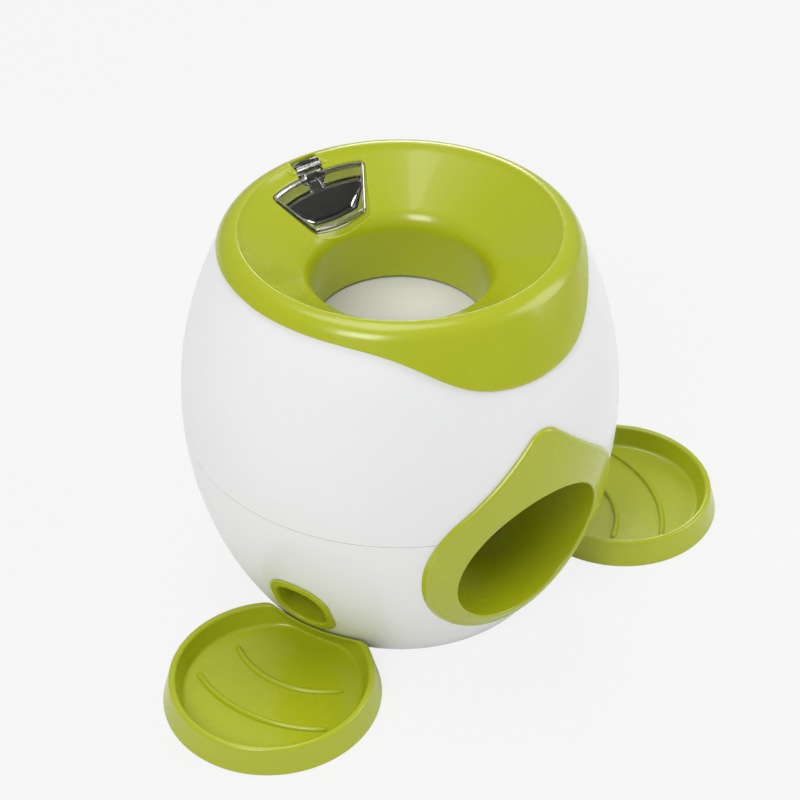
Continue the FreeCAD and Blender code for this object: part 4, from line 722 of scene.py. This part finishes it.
def tray_rings():
    """Rings from the floor up the inner wall, over the rim, down outside and in underneath."""
    rings = []

    def level(radius, height, gap):
        rings.append(np.column_stack([tray_outline(radius, height, gap),
                                      np.full(TRAY_POINTS, height)]))

    flare = (TRAY_BASE - TRAY_RIM) / TRAY_HEIGHT
    slope = TRAY_SLOPE / (TRAY_HEIGHT - TRAY_FLOOR)
    crest = TRAY_WALL / 2
    shoulder = TRAY_HEIGHT - crest
    floor_radius = TRAY_RIM - TRAY_WALL - TRAY_SLOPE
    for turn in (0, 18, 36, 54, 72, 90):
        a = math.radians(turn)
        draw = FLOOR_ROUND * (1 - math.sin(a))
        height = TRAY_FLOOR + FLOOR_ROUND * (1 - math.cos(a))
        level(floor_radius - draw, height, TRAY_GAP + FENCE_WALL + draw * FLOOR_CREEP)
    # partway up the straight inner wall, and later down the outer one
    for height in (TRAY_FLOOR + 6.0, shoulder - 2.5, shoulder):
        level(TRAY_RIM - TRAY_WALL - (TRAY_HEIGHT - height) * slope, height, TRAY_GAP + FENCE_WALL)
    inner = TRAY_RIM - TRAY_WALL - crest * slope
    outer = TRAY_BASE - flare * shoulder
    for turn in (157.5, 135, 112.5, 90, 67.5, 45, 22.5, 0):
        a = math.radians(turn)
        share = (1 - math.cos(a)) / 2
        level(outer + (inner - outer) * share, shoulder + crest * math.sin(a),
              TRAY_GAP + FENCE_WALL * share)
    for height in (shoulder - 4.0, 6.0, 0.5):
        level(TRAY_BASE - flare * height, height, TRAY_GAP)
    level(TRAY_BASE - FOOT_EASE, 0.0, TRAY_GAP + FOOT_DRAW)
    level(TRAY_BASE - TRAY_SKIN, 0.0, TRAY_GAP + FENCE_WALL * UNDER_SHARE)
    under = TRAY_HEIGHT - TRAY_SKIN
    level(TRAY_BASE - flare * under - TRAY_SKIN, under, TRAY_GAP + FENCE_WALL * UNDER_SHARE)
    level(floor_radius + FLOOR_LAP, TRAY_FLOOR - TRAY_SKIN, TRAY_GAP + FENCE_WALL * FLOOR_SHARE)
    return rings


def place_tray(points, side):
    """Moves dish points, made about its middle with x away from the egg, to one side."""
    outward, across = side_axes(side)
    points = np.asarray(points)
    moved = points[:, :1] * outward + points[:, 1:2] * across + outward * TRAY_REACH
    moved[:, 2] = points[:, 2]
    return moved


def rib_rings(radius, half_length):
    """A low rib across the floor, an arc about a point nearer the egg, with round ends."""
    spread = math.asin(half_length / radius)
    rings = []
    for share in np.concatenate([[-1, -0.995, -0.985, -0.97], np.linspace(-0.95, 0.95, 49),
                                 [0.97, 0.985, 0.995, 1]]):
        taper = math.sqrt(max(1 - abs(share) ** RIB_BLUNT, 0.0)) * (1 - RIB_TIP) + RIB_TIP
        a = spread * share
        section = []
        for turn in np.radians(np.linspace(0, 180, 9)):
            off = (radius - TRAY_RIB_WIDTH / 2
                   + math.cos(turn) * (TRAY_RIB_WIDTH / 2 + RIB_SPREAD) * taper)
            section.append((off * math.cos(a) - RIB_MIDDLE, off * math.sin(a),
                            TRAY_FLOOR + math.sin(turn) * TRAY_RIB_RISE * taper))
        section += [(*section[k][:2], TRAY_FLOOR - TRAY_RIB_SINK) for k in (-1, 0)]
        rings.append(section)
    return rings


for side, word in ((1, "right"), (-1, "left")):
    body = "tray_" + word
    tray = loft("dish_" + word, [place_tray(ring, side) for ring in tray_rings()], closed=False)
    fitted(tray, green_plastic, "green_plastic", body, body)
    for number, (radius, half_length) in enumerate(TRAY_RIBS, start=1):
        rings = [place_tray(ring, side) for ring in rib_rings(radius, half_length)]
        rib = loft(f"dish_rib_{word}_{number}", rings, closed=False)
        fitted(rib, green_plastic, "green_plastic", body)
    start = float(flank(TONGUE_HEIGHT)) - TONGUE_LENGTH - TRAY_REACH
    root, half = start + TONGUE_RUN, TONGUE_WIDTH / 2
    plan = rounded_path([(start, -half, TONGUE_BEND), (root, -half, TONGUE_ROOT),
                         (root, half, TONGUE_ROOT), (start, half, TONGUE_BEND)], along=3)
    rings = [np.column_stack([grown(plan, draw), np.full(len(plan), TONGUE_HEIGHT + rise)])
             for draw, rise in ((-TONGUE_EASE, 0.0), (0.0, TONGUE_EASE),
                                (0.0, TONGUE_WALL - TONGUE_EASE), (-TONGUE_EASE, TONGUE_WALL))]
    tongue = loft("dish_tongue_" + word, [place_tray(ring, side) for ring in rings], closed=False)
    fitted(tongue, green_plastic, "green_plastic", body)

# ---------------------------------------------------------------- tipping cup and inner works
# The white cup under the throat tips on a steel axle against a tail weight. Its axle turns two
# dosing drums in grey housings, and a white ramp rolls the ball to the exit.

# The cup, ramp and base plate are white mouldings. This warm grey is darker than the shell's white:
# painted shade for their place in the shadow under the throat.
inner_white_painted_shade = moulded("inner_white_painted_shade", (0.62, 0.615, 0.58), roughness=0.38, wave=0.05, shade=0.02)
finish_nodes(inner_white_painted_shade, "ball_cup", "ball_ramp", "base_plate")
grey_plastic = moulded("grey_plastic", (0.36, 0.36, 0.35), roughness=0.42, grain=0.2, shade=0.05)
finish_nodes(grey_plastic, "side_frame_right", "side_frame_left", "drum_housing_right",
             "drum_housing_left", "treat_chute_right", "treat_chute_left")
drum_plastic = moulded("drum_plastic", (0.62, 0.6, 0.54), roughness=0.45, grain=0.2, shade=0.04)
finish_nodes(drum_plastic, "dose_drum_right", "dose_drum_left", "axle_bush_right", "axle_bush_left")
finish_nodes(steel, "cup_axle", "tail_weight", "stop_rod")
finish_nodes(steel, *(f"base_screw_{k}" for k in (1, 2, 3, 4)))
rubber = moulded("foot_rubber", (0.03, 0.03, 0.032), roughness=0.75, grain=0.6, shade=0.15,
                 fine_scale=1500.0)
finish_nodes(rubber, *(f"rubber_foot_{k}" for k in (1, 2, 3, 4)))

# ---------------------------------------------------------------- studio
# A plain pale floor and soft light from all round. The key box hangs over the left front, with one
# overhead and a large fill at the right. A small one low behind the right side draws the bright
# line along the rim.

PAPER, PAPER_GLOW, ROOM_LIGHT = 0.922, 0.9, 0.36
FLOOR_HALF = 8
CAMERA_PLACE, CAMERA_AIM, CAMERA_LENS = (-0.5525, -0.6955, 0.8039), (0, 0, 0.11236), 87.82

mesh = bpy.data.meshes.new("floor")
corners = ((-1, -1), (1, -1), (1, 1), (-1, 1))
mesh.from_pydata([(x * FLOOR_HALF, y * FLOOR_HALF, 0) for x, y in corners], [], [(0, 1, 2, 3)])
floor = bpy.data.objects.new("floor", mesh)
bpy.context.scene.collection.objects.link(floor)
floor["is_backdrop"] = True
paper = bpy.data.materials.new("paper")
paper.use_nodes = True
tree = paper.node_tree
add = node_maker(tree)
shader = tree.nodes["Principled BSDF"]
shader.inputs["Base Color"].default_value = (0.88, 0.88, 0.88, 1.0)
shader.inputs["Roughness"].default_value = 1.0
shader.inputs["Specular IOR Level"].default_value = 0.0
glow = add("ShaderNodeEmission", None, Color=(PAPER, PAPER, PAPER, 1.0), Strength=1.0)
seen = tree.nodes.new("ShaderNodeLightPath").outputs["Is Camera Ray"]
share = add("ShaderNodeMath", {"operation": "MULTIPLY"}, i0=seen, i1=PAPER_GLOW)
mixed = add("ShaderNodeMixShader", None, i0=share, i1=shader.outputs[0], i2=glow)
tree.links.new(mixed, tree.nodes["Material Output"].inputs["Surface"])
floor.data.materials.append(paper)

world = bpy.data.worlds.new("studio")
bpy.context.scene.world = world
world.use_nodes = True
tree = world.node_tree
add = node_maker(tree)
path = tree.nodes.new("ShaderNodeLightPath")
soft = tree.nodes["Background"]
soft.inputs["Color"].default_value = (1.0, 1.0, 1.0, 1.0)
soft.inputs["Strength"].default_value = ROOM_LIGHT
backdrop = add("ShaderNodeBackground", None, Color=(PAPER, PAPER, PAPER, 1.0), Strength=1.0)
mixed = add("ShaderNodeMixShader", None, i0=path.outputs["Is Camera Ray"], i1=soft.outputs[0],
            i2=backdrop)
tree.links.new(mixed, tree.nodes["World Output"].inputs["Surface"])


def lamp(name, place, aim, size, power):
    """A rectangular soft box."""
    data = bpy.data.lights.new(name, "AREA")
    data.shape, data.size, data.size_y, data.energy = "RECTANGLE", size[0], size[1], power
    item = bpy.data.objects.new(name, data)
    bpy.context.scene.collection.objects.link(item)
    item.location = place
    item.rotation_euler = (Vector(aim) - Vector(place)).to_track_quat("-Z", "Y").to_euler()


lamp("key_box", (-1.25, -0.6, 1.4), (0, 0, 0.13), (0.7, 0.7), 15)
lamp("top_box", (0.0, 0.3, 1.9), (0, 0, 0.15), (1.0, 1.0), 12)
lamp("fill_box", (1.4, -0.9, 1.0), (0, 0, 0.12), (1.0, 1.2), 12)
lamp("edge_box", (1.25, 1.4, 0.85), (0, 0, 0.2), (0.6, 0.4), 6)

view = bpy.data.cameras.new("camera")
view.lens, view.sensor_width = CAMERA_LENS, 36.0
camera = bpy.data.objects.new("camera", view)
bpy.context.scene.collection.objects.link(camera)
camera.location = CAMERA_PLACE
facing = Vector(CAMERA_AIM) - camera.location
camera.rotation_euler = facing.to_track_quat("-Z", "Y").to_euler()
bpy.context.scene.camera = camera
bpy.context.scene.view_settings.view_transform = "Standard"

low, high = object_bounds()
